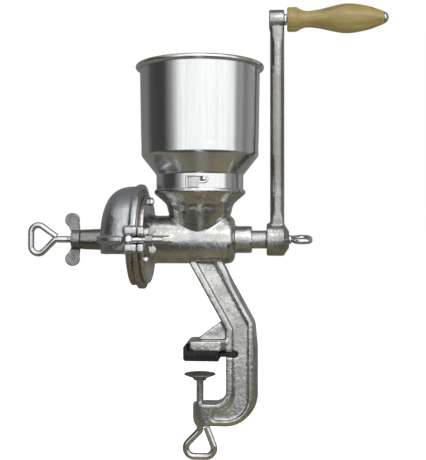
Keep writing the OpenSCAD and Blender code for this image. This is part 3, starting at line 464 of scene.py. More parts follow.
# The dust colour lightens convex edges: dust and a painted highlight
rubberLook = {"dark": (0.010, 0.010, 0.011), "light": (0.028, 0.028, 0.030), "dustAndSheen": (0.075, 0.073, 0.070),
              "dustAndSheenShare": 0.6, "shine": 0.25, "coarse": 700.0, "fine": 2600.0, "smooth": 0.50, "rough": 0.66,
              "bump": 0.25, "depth": 0.5 * mm}

def rubberMaterial():
    look = rubberLook
    material, tree, shader, vector = startMaterial("blackRubber", Metallic=0.0,
                                                   Specular_IOR_Level=look["shine"])
    grain = placeGroup(tree, castGrain, vector, Coarse=look["coarse"], Fine=look["fine"])
    wearSheenShade = placeGroup(tree, edgeWearSheenShade, vector)
    # Paler convex edges: dust and a painted highlight
    dustAndSheen = mathNode(tree, "MULTIPLY", wearSheenShade.outputs["WearAndSheen"], look["dustAndSheenShare"])
    colour = mixColour(tree, grain.outputs["Mottle"], look["dark"], look["light"])
    colour = mixColour(tree, dustAndSheen, colour, look["dustAndSheen"])
    rough = rangeNode(tree, grain.outputs["Mottle"], 0, 1, look["smooth"], look["rough"])
    finishLook(tree, shader, colour, rough, grain.outputs["Height"], look["bump"], look["depth"])
    return material

# Each layer tints where its pattern lies between the limits, up to a share
woodLook = {"pale": (0.44, 0.345, 0.115), "tan": (0.32, 0.235, 0.065), "vein": (0.22, 0.13, 0.045),
            "pore": (0.20, 0.10, 0.03), "rings": 95.0, "fibre": 900.0, "pores": 1980.0,
            "layers": [("rings", (0.30, 0.68), 1.0, "tan"), ("rings", (0.56, 0.70), 0.55, "vein"),
                       ("fibre", (0.45, 0.72), 0.45, "tan"), ("pores", (0.60, 0.75), 0.5, "pore")],
            "stretch": (0.07, 1, 1), "coat": 0.35, "coatRough": 0.16, "limits": (0.3, 0.7), "smooth": 0.30,
            "rough": 0.46, "bump": 0.12, "depth": 0.3 * mm}

# Grain runs along the grip, so the pattern is stretched along X
def woodMaterial():
    look = woodLook
    material, tree, shader, vector = startMaterial("turnedWood", Metallic=0.0, Coat_Weight=look["coat"],
                                                   Coat_Roughness=look["coatRough"])
    vector = stretchNode(tree, vector, look["stretch"])
    patterns = {"rings": noiseNode(tree, vector, look["rings"], detail=3.0, roughness=0.55, distortion=1.6),
                "fibre": noiseNode(tree, vector, look["fibre"], detail=3.0, roughness=0.65),
                "pores": noiseNode(tree, vector, look["pores"])}
    colour = look["pale"]
    for pattern, limits, share, tint in look["layers"]:
        colour = mixColour(tree, rangeNode(tree, patterns[pattern], *limits, 0.0, share), colour, look[tint])
    rough = rangeNode(tree, patterns["fibre"], *look["limits"], look["smooth"], look["rough"])
    finishLook(tree, shader, colour, rough, patterns["fibre"], look["bump"], look["depth"])
    return material

bodyCasting = castingMaterial("tinnedBody", castingLooks["body"])
coverCasting = castingMaterial("tinnedCover", castingLooks["cover"])
crankCasting = castingMaterial("tinnedCrank", castingLooks["crank"])
dullZinc = castingMaterial("dullZinc", castingLooks["nut"])
burrIron = castingMaterial("burrIron", castingLooks["iron"])
spunSheet, zincSteel = sheetMaterial(), zincMaterial()
blackRubber, turnedWood = rubberMaterial(), woodMaterial()
print("materials ready")

# Castings

castings = {
    "millBody": {"node": "mill_body", "voxel": 1.0 * mm, "soften": 6, "keep": 0.55, "swell": 0.3 * mm,
                 "material": bodyCasting, "body": "frame", "slot": "tinned_casting"},
    "burrCover": {"node": "cover", "voxel": 0.9 * mm, "soften": 9, "keep": 0.7, "swell": 0.15 * mm,
                  "material": coverCasting, "body": "frame", "slot": "tinned_casting"},
    "crankArm": {"node": "crank_arm", "voxel": 0.9 * mm, "soften": 8, "swell": 0.2 * mm,
                 "material": crankCasting, "body": "crank", "slot": "tinned_casting"},
    "frontWingNut": {"node": "front_wing_nut", "voxel": 0.36 * mm, "soften": 5,
                     "material": crankCasting, "body": "front_nut", "slot": "grey_zinc"},
    "rearWingNut": {"node": "rear_wing_nut", "voxel": 0.36 * mm, "soften": 5,
                    "material": crankCasting, "body": "rear_nut", "slot": "grey_zinc"},
    "lockWingNut": {"node": "lock_wing_nut", "voxel": 0.5 * mm, "soften": 6,
                    "material": dullZinc, "body": "lock_nut", "slot": "grey_zinc"},
    "jawPad": {"node": "jaw_pad", "voxel": 0.4 * mm, "soften": 2, "keep": 0.6,
               "material": blackRubber, "body": "frame", "slot": "black_rubber"},
}

def easeStep(value, low, high):
    t = min(max((value - low) / (high - low), 0), 1)
    return t * t * (3 - 2 * t)

# The frame's outer side: drawn in at the front and back edges, full in the middle of its depth
frameSet = {"kneeX": 41.3 * mm, "kneeZ": 33.7 * mm, "half": 14.5 * mm, "lean": 29, "turnX": 25.8 * mm,
            "turnZ": -37 * mm, "turnRadius": 30 * mm, "depth": 12.5 * mm, "margin": 1 * mm, "reach": 9 * mm,
            "drawIn": 3.2 * mm, "power": 2.2, "bulge": 2.2 * mm, "underKnee": (8 * mm, -25 * mm),
            "overTurn": (-25 * mm, 5 * mm), "top": 90 * mm, "topFade": 20 * mm, "sideFade": 12 * mm}

# How far a point lies inside the frame's outer side, and which way is out
def frameSide(x, z, given):
    outX, outZ = math.cos(math.radians(given["lean"])), math.sin(math.radians(given["lean"]))
    kneeX, kneeZ = x - given["kneeX"], z - given["kneeZ"]
    if z < given["turnZ"] and x > given["turnX"]:
        arm = Vector((x - given["turnX"], z - given["turnZ"]))
        return given["turnRadius"] - arm.length, arm.normalized()
    if z < given["turnZ"]:
        return z - given["turnZ"] + given["turnRadius"], Vector((0, -1))
    if kneeZ > 0 and kneeX > 0 and kneeZ * outX < kneeX * outZ:
        knee = Vector((kneeX, kneeZ))
        return given["half"] - knee.length, knee.normalized()
    if kneeX * outX + kneeZ * outZ > kneeX:
        return given["half"] - kneeX * outX - kneeZ * outZ, Vector((outX, outZ))
    return given["half"] - kneeX, Vector((1, 0))

def crownFrame(obj):
    given = frameSet
    underKnee = [given["kneeZ"] + step for step in given["underKnee"]]
    overTurn = [given["turnZ"] + step for step in given["overTurn"]]
    for vert in obj.data.vertices:
        x, y, z = vert.co
        if z > given["top"] or abs(y) > given["depth"] + given["margin"]:
            continue
        inside, out = frameSide(x, z, given)
        weight = 1 - easeStep(inside, 0, given["reach"])
        onSpine = easeStep(z, *underKnee) * easeStep(z, *overTurn)
        bulge = given["bulge"] * onSpine
        fade = easeStep(z, given["top"], given["top"] - given["topFade"]) * easeStep(x, 0, given["sideFade"])
        shift = bulge - (bulge + given["drawIn"]) * min(abs(y) / given["depth"], 1) ** given["power"]
        vert.co += Vector((out.x, 0, out.y)) * weight * fade * shift

# The crank's arm: an oval section instead of a flat bar
armSet = {"low": 138 * mm, "high": 322 * mm, "fade": 10 * mm, "middle": 20 * mm, "flat": 0.86}

def crownArm(obj):
    low, high, fadeOver = armSet["low"], armSet["high"], armSet["fade"]
    arm = [v for v in obj.data.vertices if low < v.co.z < high]
    middle = [v for v in arm if abs(v.co.z - (low + high) / 2) < armSet["middle"]]
    left, right = min(v.co.x for v in middle), max(v.co.x for v in middle)
    for vert in arm:
        t = min(abs(2 * vert.co.x - left - right) / (right - left), 1)
        fade = easeStep(vert.co.z, low, low + fadeOver) * easeStep(vert.co.z, high, high - fadeOver)
        vert.co.y *= 1 - fade * (1 - math.sqrt(1 - armSet["flat"] * t * t))

# Ears of the cover and the body: rounder than the rest
earSet = {"from": 44 * mm, "half": 20 * mm, "factor": 0.5, "times": 9}

def roundEars(obj):
    bm = bmesh.new()
    bm.from_mesh(obj.data)
    ears = [v for v in bm.verts if abs(v.co.y) > earSet["from"] and abs(v.co.z - axisZ) < earSet["half"]]
    for i in range(earSet["times"]):
        bmesh.ops.smooth_vert(bm, verts=ears, factor=earSet["factor"], use_axis_x=True, use_axis_y=True,
                              use_axis_z=True)
    bm.to_mesh(obj.data)
    bm.free()

def crownBody(obj):
    crownFrame(obj)
    roundEars(obj)

crowns = {"millBody": crownBody, "burrCover": roundEars, "crankArm": crownArm}
for name, given in castings.items():
    piece = castCopy(name, given, crowns.get(name))
    dress(piece, given["material"], given["body"], given["slot"], given["node"])

# Machined pieces whose solids are right, with their edges broken

trimmed = {
    "fixedBurr": {"node": "stationary_burr", "chamfer": 0.15 * mm, "body": "frame", "slot": "burr_iron"},
    "turningBurr": {"node": "rotating_burr", "chamfer": 0.15 * mm, "body": "crank", "slot": "burr_iron"},
    "burrNuts": {"node": "burr_nuts", "chamfer": 0.35 * mm, "body": "frame", "slot": "zinc_steel"},
    "burrScrews": {"node": "burr_screws", "chamfer": 0.25 * mm, "body": "frame", "slot": "zinc_steel"},
    "hingePins": {"node": "cover_hinge_pins", "chamfer": 0.4 * mm, "body": "frame", "slot": "zinc_steel"},
    "drivePin": {"node": "burr_drive_pin", "chamfer": 0.3 * mm, "body": "crank", "slot": "zinc_steel"},
    "gripBolt": {"node": "grip_bolt", "chamfer": 0.3 * mm, "body": "crank", "slot": "zinc_steel"},
    "gripLockNut": {"node": "grip_lock_nut", "chamfer": 0.4 * mm, "body": "crank", "slot": "zinc_steel"},
}
slotLooks = {"burr_iron": burrIron, "zinc_steel": zincSteel}
for name, given in trimmed.items():
    piece = trimCopy(name, given["node"], given["chamfer"])
    dress(piece, slotLooks[given["slot"]], given["body"], given["slot"], given["node"])
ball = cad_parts["thrust_ball"].data   # its solid shows as it is
ball.materials.clear()
ball.materials.append(zincSteel)

# Hopper: spun sheet with a rolled rim and two bayonet slots in its neck

hopperSet = {"neckRadius": 43.5 * mm, "neckHeight": 15 * mm, "shoulderHeight": 19 * mm,
             "lowRadius": 58.5 * mm, "topRadius": 60 * mm, "sheet": 0.8 * mm, "neckFold": 5 * mm,
             "bowlFold": 6 * mm, "wallSteps": 16, "bead": 2.5 * mm, "beadArc": (180, -130),
             "lineHeight": 44 * mm, "lineDepth": 0.12 * mm, "lineHalf": 0.8 * mm, "lineClear": 1.5 * mm,
             "slotLeft": -8 * mm, "slotRight": 2 * mm, "slotTop": 11.3 * mm, "slotLeg": 5.6 * mm,
             "legEnd": 8.2 * mm, "slotRound": 2.2 * mm, "slotFoot": -1 * mm, "cutFrom": 30 * mm,
             "cutDepth": 20 * mm, "lipRadius": 1.2 * mm, "lipGrow": 0.35, "lipFoot": 0.3 * mm,
             "lipSides": 12, "probeHeight": 60 * mm, "steps": 180}

def bowlOutline(given, low, high):
    inside = given["sheet"]
    neck = given["neckRadius"] - inside
    hipZ = given["neckHeight"] + given["shoulderHeight"]
    beadZ = high.z - low.z - given["bead"]
    beadR = high.x - given["bead"]
    edge, fold = (neck, 0), (neck, given["neckHeight"])
    hip, lip = (given["lowRadius"] - inside, hipZ), (given["topRadius"] - inside, beadZ)
    wall = []
    for i in range(1, given["wallSteps"]):
        t = i / given["wallSteps"]
        z = hipZ + given["bowlFold"] + t * (beadZ - hipZ - given["bowlFold"])
        wall.append((hip[0] + (lip[0] - hip[0]) * (z - hipZ) / (beadZ - hipZ), z))
    groove = [(hip[0] + given["lineDepth"] * k, given["lineHeight"] + given["lineHalf"] * side)
              for side, k in ((-1, 0), (0, -1), (1, 0))]
    wall = [p for p in wall if abs(p[1] - given["lineHeight"]) > given["lineClear"]] + groove
    points = [edge, (neck, 0.5 * given["neckHeight"])]
    points += roundCorner(edge, fold, hip, given["neckFold"], 8)
    points += roundCorner(fold, hip, lip, given["bowlFold"], 10)
    points += sorted(wall, key=lambda p: p[1])
    points += arcPoints((beadR, beadZ), given["bead"], *given["beadArc"], 26)
    return [(p[0], low.z + p[1]) for p in points]

# Outline of a bayonet slot, unrolled, from the neck's lower edge up and round its leg
def slotPath(given, grow, steps=10):
    left, right = given["slotLeft"] - grow, given["slotRight"] + grow
    top, leg, foot = given["slotTop"] + grow, given["slotLeg"], given["slotFoot"]
    low = given["slotTop"] - leg - grow
    midLeg = given["slotTop"] - leg / 2
    path = [Vector((left, foot))]
    path += roundCorner((left, 0), (left, top), (0, top), given["slotRound"] + grow, steps)
    path += arcPoints((given["legEnd"], midLeg), leg / 2 + grow, 90, -90, 2 * steps)
    path += roundCorner((given["legEnd"], low), (right, low), (right, foot), given["slotRound"] / 2, 4)
    return path + [Vector((right, foot))]

def makeHopper(given):
    low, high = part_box("hopper")
    bm = turnOutline(bowlOutline(given, low, high), given["steps"], closed=False)
    hopper = objectFrom(bm, "hopperBowl", smoothAngles["turned"])
    wall = hopper.modifiers.new("sheet", "SOLIDIFY")
    wall.thickness = given["sheet"]
    wall.use_even_offset = True
    probe = min(hopper.data.polygons, key=lambda p: abs(p.center.z - low.z - given["probeHeight"]))
    inward = probe.normal.x * probe.center.x + probe.normal.y * probe.center.y < 0
    wall.offset = -1 if inward else 1   # the sheet grows outwards
    cutter = bmesh.new()
    for side in (-1, 1):
        rim = [cutter.verts.new((-side * p.x, side * given["cutFrom"], low.z + p.y))
               for p in slotPath(given, 0)]
        made = bmesh.ops.extrude_face_region(cutter, geom=[cutter.faces.new(rim)])
        moved = [v for v in made["geom"] if isinstance(v, bmesh.types.BMVert)]
        bmesh.ops.translate(cutter, verts=moved, vec=(0, side * given["cutDepth"], 0))
    bmesh.ops.recalc_face_normals(cutter, faces=cutter.faces)
    tool = objectFrom(cutter, "slotTool")
    cut = hopper.modifiers.new("slots", "BOOLEAN")
    cut.object = tool
    cut.solver = "EXACT"
    settle(hopper)
    bpy.data.objects.remove(tool)
    bm = bmesh.new()
    bm.from_mesh(hopper.data)
    neck = given["neckRadius"]
    for side in (-1, 1):   # raised lip pressed up round each slot
        lip = []
        for p in slotPath(given, given["lipGrow"] * given["lipRadius"]):
            angle = -side * p.x / neck
            height = max(p.y, given["lipFoot"])
            lip.append((neck * math.sin(angle), side * neck * math.cos(angle), low.z + height))
        joinInto(bm, wireMesh(lip, given["lipRadius"], given["lipSides"]))
    bm.to_mesh(hopper.data)
    bm.free()
    hopper.data.shade_smooth()
    hopper.data.set_sharp_from_angle(angle=math.radians(smoothAngles["turned"]))
    dress(hopper, spunSheet, "hopper", "spun_sheet", "hopper")

makeHopper(hopperSet)

# Bent wire eyes on their rods, with bends, root and tip as shares of the wire's radius

eyeSet = {"root": -2, "bend": 2.4, "neckBend": 1.5, "steps": 16, "sides": 24, "chamfer": 0.6 * mm}

def eyePath(length, width, wire, tipPlace):
    bend = eyeSet["bend"] * wire
    root, neck, tip = Vector((eyeSet["root"] * wire, 0)), Vector((wire, 0)), Vector(tipPlace) * wire
    low = Vector((length - wire - bend, wire + bend - width / 2))
    high = Vector((low.x, -low.y))
    toLow, toTip = low - neck, tip - high
    start = math.degrees(math.atan2(toLow.y, toLow.x) - math.asin(bend / toLow.length)) - 90
    finish = math.degrees(math.atan2(toTip.y, toTip.x)) % 360
    finish += math.degrees(math.asin(bend / toTip.length)) - 90
    bottom = arcPoints(low, bend, start, 0, eyeSet["steps"])
    top = arcPoints(high, bend, 0, finish, eyeSet["steps"])
    shank = roundCorner(root, neck, bottom[0], eyeSet["neckBend"] * wire, 8)
    return [root] + shank + bottom + top + [tip]

eyeScrews = {
    "adjustingScrew": {"node": "adjusting_screw", "body": "adjuster", "rod": 3.4 * mm, "wire": 3.1 * mm,
                       "eyeLength": 31 * mm, "eyeWidth": 35 * mm, "tip": (0.6, 0.95), "pitch": 1.5 * mm,
                       "plain": 10 * mm},
    "clampScrew": {"node": "clamp_screw", "body": "screw", "rod": 3.75 * mm, "wire": 3.45 * mm,
                   "eyeLength": 33 * mm, "eyeWidth": 35 * mm, "tip": (0.15, 1.95), "pitch": 1.5 * mm,
                   "plain": 3 * mm, "shoulder": -21.8 * mm, "journal": 2.75 * mm, "sunk": 0.5 * mm,
                   "floor": -18.25 * mm, "headOut": 1 * mm, "headFrom": 0.3 * mm, "headTo": 0.9 * mm,
                   "headSlope": 0.4 * mm, "pointFrom": 0.3 * mm, "pointSlope": 0.8 * mm},
    "crankScrew": {"node": "crank_screw", "body": "crank", "rod": 3.0 * mm, "wire": 3.0 * mm,
                   "eyeLength": 21 * mm, "eyeWidth": 30 * mm, "tip": (0.15, 1.95), "pitch": 1.25 * mm,
                   "plain": 8 * mm, "tilt": 8, "collar": 2 * mm, "collarRadius": 4.6 * mm,
                   "collarSoft": 0.5 * mm},
}

def makeEyeScrew(name, given):
    low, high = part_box(given["node"])
    if name == "clampScrew":
        base = Vector((0, 0, low.z + given["eyeLength"]))
        eyeTurn, rodTurn = turned(90, "Y") @ turned(90, "X"), Matrix()
        rodLength = given["shoulder"] - base.z
    elif name == "adjustingScrew":
        base = Vector((low.x + given["eyeLength"], 0, axisZ))
        eyeTurn, rodTurn = turned(180, "Z") @ turned(90, "X"), turned(90, "Y")
        rodLength = high.x - base.x
    else:
        base = Vector((high.x - given["eyeLength"], 0, axisZ))
        eyeTurn, rodTurn = turned(given["tilt"], "X"), turned(-90, "Y")
        rodLength = base.x - low.x
    rodPlace = Matrix.Translation(base) @ rodTurn
    path = eyePath(given["eyeLength"], given["eyeWidth"], given["wire"], given["tip"])
    bm = threadedRod(given["rod"], rodLength, given["plain"], given["pitch"], eyeSet["chamfer"])
    bmesh.ops.transform(bm, matrix=rodPlace, verts=bm.verts)
    joinInto(bm, wireMesh(path, given["wire"], eyeSet["sides"]), Matrix.Translation(base) @ eyeTurn)
    if "collar" in given:
        r, h, s = given["collarRadius"], given["collar"], given["collarSoft"]
        collar = turnOutline([(0, 0), (r - s, 0), (r, s), (r, h - s), (r - s, h), (0, h)], rodSides)
        joinInto(bm, collar, rodPlace)
    if "journal" in given:   # journal and peened head that keep the disc on the rod
        j, foot = given["journal"], given["shoulder"] - given["sunk"]
        head, headFrom = given["rod"] + given["headOut"], given["floor"] + given["headFrom"]
        journal = turnOutline([(0, foot), (j, foot), (j, headFrom), (head, headFrom),
                               (head - given["headSlope"], given["floor"] + given["headTo"]),
                               (j, high.z - given["pointFrom"]), (j - given["pointSlope"], high.z),
                               (0, high.z)], rodSides)
        joinInto(bm, journal)
    piece = objectFrom(bm, name, smoothAngles["thread"])
    dress(piece, zincSteel, given["body"], "zinc_steel", given["node"])

for name, given in eyeScrews.items():
    makeEyeScrew(name, given)

# Swing bolts: an eye turned on its pin and a threaded shank

swingSet = {"rod": 3.25 * mm, "eye": 5.2 * mm, "eyeHeight": 7 * mm, "pin": 2.06 * mm, "pitch": 1.25 * mm,
            "plain": 9 * mm, "soft": 0.7 * mm, "cut": 0.3, "sunk": 0.8 * mm, "chamfer": 0.5 * mm, "sides": 56}

def makeSwingBolt(name, node, body, given):
    low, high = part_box(node)
    pinX = low.x + given["eye"]
    boltY = (low.y + high.y) / 2
    pin, r, h, s = given["pin"], given["eye"], given["eyeHeight"] / 2, given["soft"]
    cut = given["cut"] * s
    bm = turnOutline([(pin, -h), (r - s, -h), (r - cut, -h + cut), (r, -h + s), (r, h - s),
                      (r - cut, h - cut), (r - s, h), (pin, h)], given["sides"])
    bmesh.ops.translate(bm, verts=bm.verts, vec=(pinX, boltY, axisZ))
    inset = given["eye"] - given["sunk"]
    shank = threadedRod(given["rod"], high.x - pinX - inset, given["plain"], given["pitch"],
                        given["chamfer"])
    joinInto(bm, shank, Matrix.Translation((pinX + inset, boltY, axisZ)) @ turned(90, "Y"))
    dress(objectFrom(bm, name, smoothAngles["thread"]), zincSteel, body, "zinc_steel", node)

makeSwingBolt("frontSwingBolt", "front_swing_bolt", "front_bolt", swingSet)
makeSwingBolt("rearSwingBolt", "rear_swing_bolt", "rear_bolt", swingSet)

# Clamp disc: a pressed dish with a hub

discSet = {"journal": 2.81 * mm, "hub": 6.25 * mm, "hubSoft": 0.4 * mm, "hubFlare": 0.6 * mm,
           "hubFold": 1.2 * mm, "floor": 5.75 * mm, "floorFold": 2.5 * mm, "edge": 1.2 * mm,
           "edgeArc": (-60, 120), "sides": 96}

def makeClampDisc(given):
    low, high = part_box("clamp_disc")
    r, h, e = high.x, high.z - low.z, given["edge"]
    bore, hub, soft = given["journal"], given["hub"], given["hubSoft"]
    outline = [(bore, 0), (hub - soft, 0), (hub, soft)]
    outline += roundCorner((hub, 0), (hub + given["hubFlare"], h / 3), (r, h - e), given["hubFold"], 5)
    outline += arcPoints((r - e / 2, h - e / 2), e / 2, *given["edgeArc"], 10)
    outline += roundCorner((r - e, h), (given["floor"], h / 2), (bore, h / 2), given["floorFold"], 6)
    outline += [(bore, h / 2)]
    bm = turnOutline([(p[0], low.z + p[1]) for p in outline], given["sides"])
    dress(objectFrom(bm, "clampDisc", smoothAngles["turned"]), dullZinc, "disc", "zinc_steel", "clamp_disc")

makeClampDisc(discSet)

# Grip: turned wood with a collar, a waist and a swell

gripSet = {"collarRadius": 12 * mm, "collar": 9 * mm, "collarSoft": 2 * mm, "neckRadius": 8.2 * mm,
           "neckAt": 18 * mm, "slimGrow": 1 * mm, "slimAt": 31 * mm, "swellRadius": 14.3 * mm,
           "swellAt": 57 * mm, "fall": 2.4 * mm, "fallOn": 2 * mm, "endRadius": 6.2 * mm, "endOut": 0.3 * mm,
           "endBack": 0.6 * mm, "endIn": 0.4 * mm, "bore": 3.06 * mm, "sides": 96}

def makeGrip(given):
    low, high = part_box("grip")
    length = high.x - low.x
    fallAt = (given["swellAt"] + length) / 2 + given["fallOn"]
    collar, neck, end = given["collarRadius"], given["neckRadius"], given["endRadius"]
    outline = [(given["bore"], 0)]
    outline += roundCorner((0, 0), (collar, 0), (collar, given["collar"]), given["collarSoft"], 6)
    outline += smoothCurve([(collar, given["collar"]), (neck, given["neckAt"]),
                            (neck + given["slimGrow"], given["slimAt"]),
                            (given["swellRadius"], given["swellAt"]),
                            (given["swellRadius"] - given["fall"], fallAt),
                            (end + given["endOut"], length - given["endBack"])], 12)
    outline += [(end - given["endIn"], length), (given["bore"], length)]
    bm = turnOutline(outline, given["sides"])
    place = Matrix.Translation((low.x, 0, (low.z + high.z) / 2)) @ turned(90, "Y")
    bmesh.ops.transform(bm, matrix=place, verts=bm.verts)
    dress(objectFrom(bm, "woodGrip", smoothAngles["turned"]), turnedWood, "grip", "turned_wood", "grip")

makeGrip(gripSet)

# Auger: shaft with a helical flight

augerSet = {"shaft": 9 * mm, "soft": 0.8 * mm, "endRadius": 7 * mm, "endLength": 16.5 * mm,
            "endSoft": 1 * mm, "tip": 19.2 * mm, "tipSoft": 0.6 * mm, "pitch": 26 * mm, "thick": 4 * mm,
            "root": 0.8, "sunk": 1.5 * mm, "flightFrom": -56.5 * mm, "flightTo": 23 * mm, "perTurn": 72}

def makeAuger(given):
    low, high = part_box("auger")
    shoulder = high.x - given["endLength"]
    s, soft, end, endSoft = given["shaft"], given["soft"], given["endRadius"], given["endSoft"]
    outline = [(0, low.x), (s - soft, low.x), (s, low.x + soft), (s, shoulder - soft), (s - soft, shoulder),
               (end, shoulder), (end, high.x - endSoft), (end - endSoft, high.x), (0, high.x)]
    bm = turnOutline(outline, given["perTurn"])
    start, run = given["flightFrom"], given["flightTo"] - given["flightFrom"]
    core, tip, cut = s - given["sunk"], given["tip"], given["tipSoft"]
    half, root = given["thick"] / 2, given["root"] * given["thick"]
    section = [bm.verts.new((r, 0, start + dx)) for r, dx in
               ((core, -root), (tip - cut, -half), (tip, -half + cut), (tip, half - cut), (tip - cut, half),
                (core, root))]
    turns = run / given["pitch"]
    steps = round(given["perTurn"] * turns)
    sweepHelix(bm, section, turns, run / steps, steps)
    place = Matrix.Translation((0, 0, axisZ)) @ turned(90, "Y")
    bmesh.ops.transform(bm, matrix=place, verts=bm.verts)
    dress(objectFrom(bm, "augerWorm", smoothAngles["thread"]), dullZinc, "crank", "burr_iron", "auger")

makeAuger(augerSet)

# Studio: pale floor, soft lamps, and reflector cards that only mirror in the metal

studioSet = {"floorSize": 6.0, "floorGrey": 0.62, "floorRough": 0.9, "floorWhite": 0.88, "ambient": 0.5,
             "cardRadius": 1.4, "cardSteps": 96, "cardLow": -0.126, "cardHigh": 1.3, "cardReach": 1.4,
             "cardLift": 0.5 * mm, "drop": 23 * mm}   # the drop is room for the clamp screw's travel
lamps = {"keyBox": {"place": (0.55, -1.25, 0.75), "size": 1.3, "power": 9.0},
         "topBox": {"place": (-0.1, -0.2, 1.5), "size": 1.0, "power": 5.0}}
lampTarget = (0, 0, 0.12)

# Brightness of the card round the object, by azimuth from the front towards +X
cardStops = [(-180, 0.20), (-114, 0.20), (-99, 0.07), (-64, 0.045), (-48, 0.32), (-36, 0.90), (-28, 1.18),
             (70, 1.18), (78, 0.28), (90, 0.38), (100, 0.18), (116, 0.36), (180, 0.20)]

# Brightness of the card overhead, from front to back
roofStops = [(-0.45, 0.95), (-0.22, 0.40), (0.10, 0.20), (1.40, 0.18)]

# Colours of the card on the floor, from front to back, and of a paler stripe in it
floorStops = [(-1.40, (0.80, 0.80, 0.79)), (-1.00, (0.30, 0.30, 0.29)), (-0.67, (0.08, 0.08, 0.072)),
              (-0.27, (0.065, 0.063, 0.055)), (-0.17, (0.17, 0.165, 0.135)), (-0.09, (0.245, 0.21, 0.14)),
              (0.055, (0.225, 0.20, 0.145)), (0.155, (0.18, 0.175, 0.145)), (0.78, (0.20, 0.195, 0.17))]
stripeStops = [(-1.40, (0.90, 0.90, 0.89)), (-0.67, (0.80, 0.80, 0.79)), (-0.47, (0.66, 0.66, 0.64)),
               (-0.32, (0.34, 0.34, 0.32)), (-0.17, (0.24, 0.23, 0.19)), (-0.09, (0.28, 0.235, 0.145)),
               (0.055, (0.24, 0.21, 0.145))] + floorStops[-2:]
stripeSet = {"left": (-0.045, 0.015), "right": (0.06, 0.13)}   # where it fades in and out along X

def stopsRamp(tree, value, stops):
    ramp = tree.nodes.new("ShaderNodeValToRGB")
    elements = ramp.color_ramp.elements
    while len(elements) < len(stops):
        elements.new(0.5)
    for element, (position, colour) in zip(elements, stops):
        element.position = position
        element.color = (*colour, 1)
    tree.links.new(value, ramp.inputs["Fac"])
    return ramp.outputs["Color"]

# A glowing card: its tree, x and y of its Object coordinates and what takes the colour
def startCard(name):
    material, tree, shader, vector = startMaterial(name)
    tree.nodes.remove(shader)
    place = tree.nodes.new("ShaderNodeSeparateXYZ")
    tree.links.new(vector, place.inputs[0])
    glow = tree.nodes.new("ShaderNodeEmission")
    tree.links.new(glow.outputs["Emission"], tree.nodes["Material Output"].inputs["Surface"])
    return material, tree, place.outputs["X"], place.outputs["Y"], glow.inputs["Color"]

def greyStops(stops):
    return [(position, (value, value, value)) for position, value in stops]

def aroundMaterial():
    material, tree, x, y, colour = startCard("cardAround")
    azimuth = mathNode(tree, "ARCTAN2", x, mathNode(tree, "MULTIPLY", y, -1))
    share = mathNode(tree, "ADD", mathNode(tree, "DIVIDE", azimuth, math.tau), 0.5)
    stops = greyStops([(degrees / 360 + 0.5, value) for degrees, value in cardStops])
    tree.links.new(stopsRamp(tree, share, stops), colour)
    return material

def alongMaterial(name, stops, paleStops=None):
    material, tree, x, y, colour = startCard(name)
    front, back = stops[0][0], stops[-1][0]
    share = mathNode(tree, "DIVIDE", mathNode(tree, "SUBTRACT", y, front), back - front)
    shade = stopsRamp(tree, share, [((p - front) / (back - front), c) for p, c in stops])
    if paleStops:
        pale = stopsRamp(tree, share, [((p - front) / (back - front), c) for p, c in paleStops])
        fadeIn = rangeNode(tree, x, *stripeSet["left"])
        fadeOut = rangeNode(tree, x, *stripeSet["right"], 1.0, 0.0)
        shade = mixColour(tree, mathNode(tree, "MULTIPLY", fadeIn, fadeOut), shade, pale)
    tree.links.new(shade, colour)
    return material

# Seen only in reflections
def mirrorOnly(obj):
    obj.visible_camera = False
    obj.visible_diffuse = False
    obj.visible_shadow = False
    obj.visible_transmission = False
    obj.visible_volume_scatter = False

def flatCard(name, reach, front, back, z, material):
    bm = bmesh.new()
    bmesh.ops.create_grid(bm, x_segments=1, y_segments=1, size=reach)
    for vert in bm.verts:
        vert.co.y = front if vert.co.y < 0 else back
        vert.co.z = z
    card = objectFrom(bm, name)
    card.data.materials.append(material)
    mirrorOnly(card)

def makeCards(given):
    bm = bmesh.new()
    low = bm.verts.new((0, -given["cardRadius"], given["cardLow"]))
    high = bm.verts.new((0, -given["cardRadius"], given["cardHigh"]))
    bmesh.ops.spin(bm, geom=[low, high, bm.edges.new((low, high))], cent=(0, 0, 0), axis=(0, 0, 1),
                   angle=math.tau, steps=given["cardSteps"], use_merge=True)
    around = objectFrom(bm, "cardAround")
    around.data.materials.append(aroundMaterial())
    mirrorOnly(around)
    reach = given["cardReach"]
    flatCard("cardBelow", reach, -reach, reach, cadLow.z - given["drop"] + given["cardLift"],
             alongMaterial("cardBelow", floorStops, stripeStops))
    flatCard("cardAbove", given["cardRadius"], roofStops[0][0], roofStops[-1][0], given["cardHigh"],
             alongMaterial("cardAbove", greyStops(roofStops)))

# 1 for what the camera sees, straight, in a mirror or through glass
def lightPathWhite(tree):
    path = tree.nodes.new("ShaderNodeLightPath")
    seen = mathNode(tree, "MAXIMUM", path.outputs["Is Camera Ray"], path.outputs["Is Glossy Ray"])
    return mathNode(tree, "MAXIMUM", seen, path.outputs["Is Transmission Ray"])

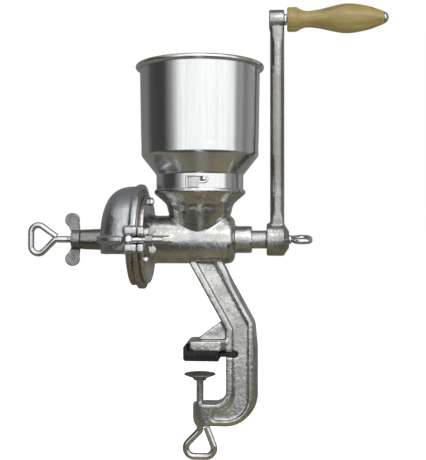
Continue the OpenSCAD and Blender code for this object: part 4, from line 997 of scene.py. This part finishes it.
# The floor glows to the camera and still takes a faint shadow
def makeFloor(given):
    bm = bmesh.new()
    bmesh.ops.create_grid(bm, x_segments=1, y_segments=1, size=given["floorSize"])
    floor = objectFrom(bm, "studioFloor")
    floor.data.transform(Matrix.Translation((0, 0, cadLow.z - given["drop"])))
    material = bpy.data.materials.new("paleFloor")
    material.use_nodes = True
    tree = material.node_tree
    shader = tree.nodes["Principled BSDF"]
    giveSocket(tree, shader.inputs["Base Color"], (given["floorGrey"],) * 3)
    shader.inputs["Roughness"].default_value = given["floorRough"]
    shader.inputs["Specular IOR Level"].default_value = 0
    glow = tree.nodes.new("ShaderNodeEmission")
    white = mathNode(tree, "MULTIPLY", lightPathWhite(tree), given["floorWhite"])
    tree.links.new(white, glow.inputs["Strength"])
    both = tree.nodes.new("ShaderNodeAddShader")
    tree.links.new(shader.outputs["BSDF"], both.inputs[0])
    tree.links.new(glow.outputs["Emission"], both.inputs[1])
    tree.links.new(both.outputs[0], tree.nodes["Material Output"].inputs["Surface"])
    floor.data.materials.append(material)

def makeWorld(given):
    world = bpy.data.worlds.new("studioWorld")
    scene.world = world
    world.use_nodes = True
    tree = world.node_tree
    back = tree.nodes["Background"]
    back.inputs["Color"].default_value = (1, 1, 1, 1)
    lift = mathNode(tree, "MULTIPLY", lightPathWhite(tree), 1 - given["ambient"])
    tree.links.new(mathNode(tree, "ADD", lift, given["ambient"]), back.inputs["Strength"])

def aimObject(obj, place, target):
    obj.location = place
    obj.rotation_euler = (Vector(target) - Vector(place)).to_track_quat("-Z", "Y").to_euler()

def makeLamp(name, given):
    lamp = bpy.data.lights.new(name, "AREA")
    lamp.size = given["size"]
    lamp.energy = given["power"]
    obj = newObject(name, lamp)
    aimObject(obj, given["place"], lampTarget)
    obj.visible_camera = False

makeCards(studioSet)
makeFloor(studioSet)
makeWorld(studioSet)
for name, given in lamps.items():
    makeLamp(name, given)

# Camera at the photograph's angle: level, a little to the crank's side

cameraSet = {"place": (87.2 * mm, -846.8 * mm, 125 * mm), "target": (13.1 * mm, 0, 128.5 * mm),
             "lens": 66.5, "sensor": 36}
camera = newObject("camera", bpy.data.cameras.new("camera"))
camera.data.lens = cameraSet["lens"]
camera.data.sensor_width = cameraSet["sensor"]
aimObject(camera, cameraSet["place"], cameraSet["target"])
scene.camera = camera
print("studio ready")
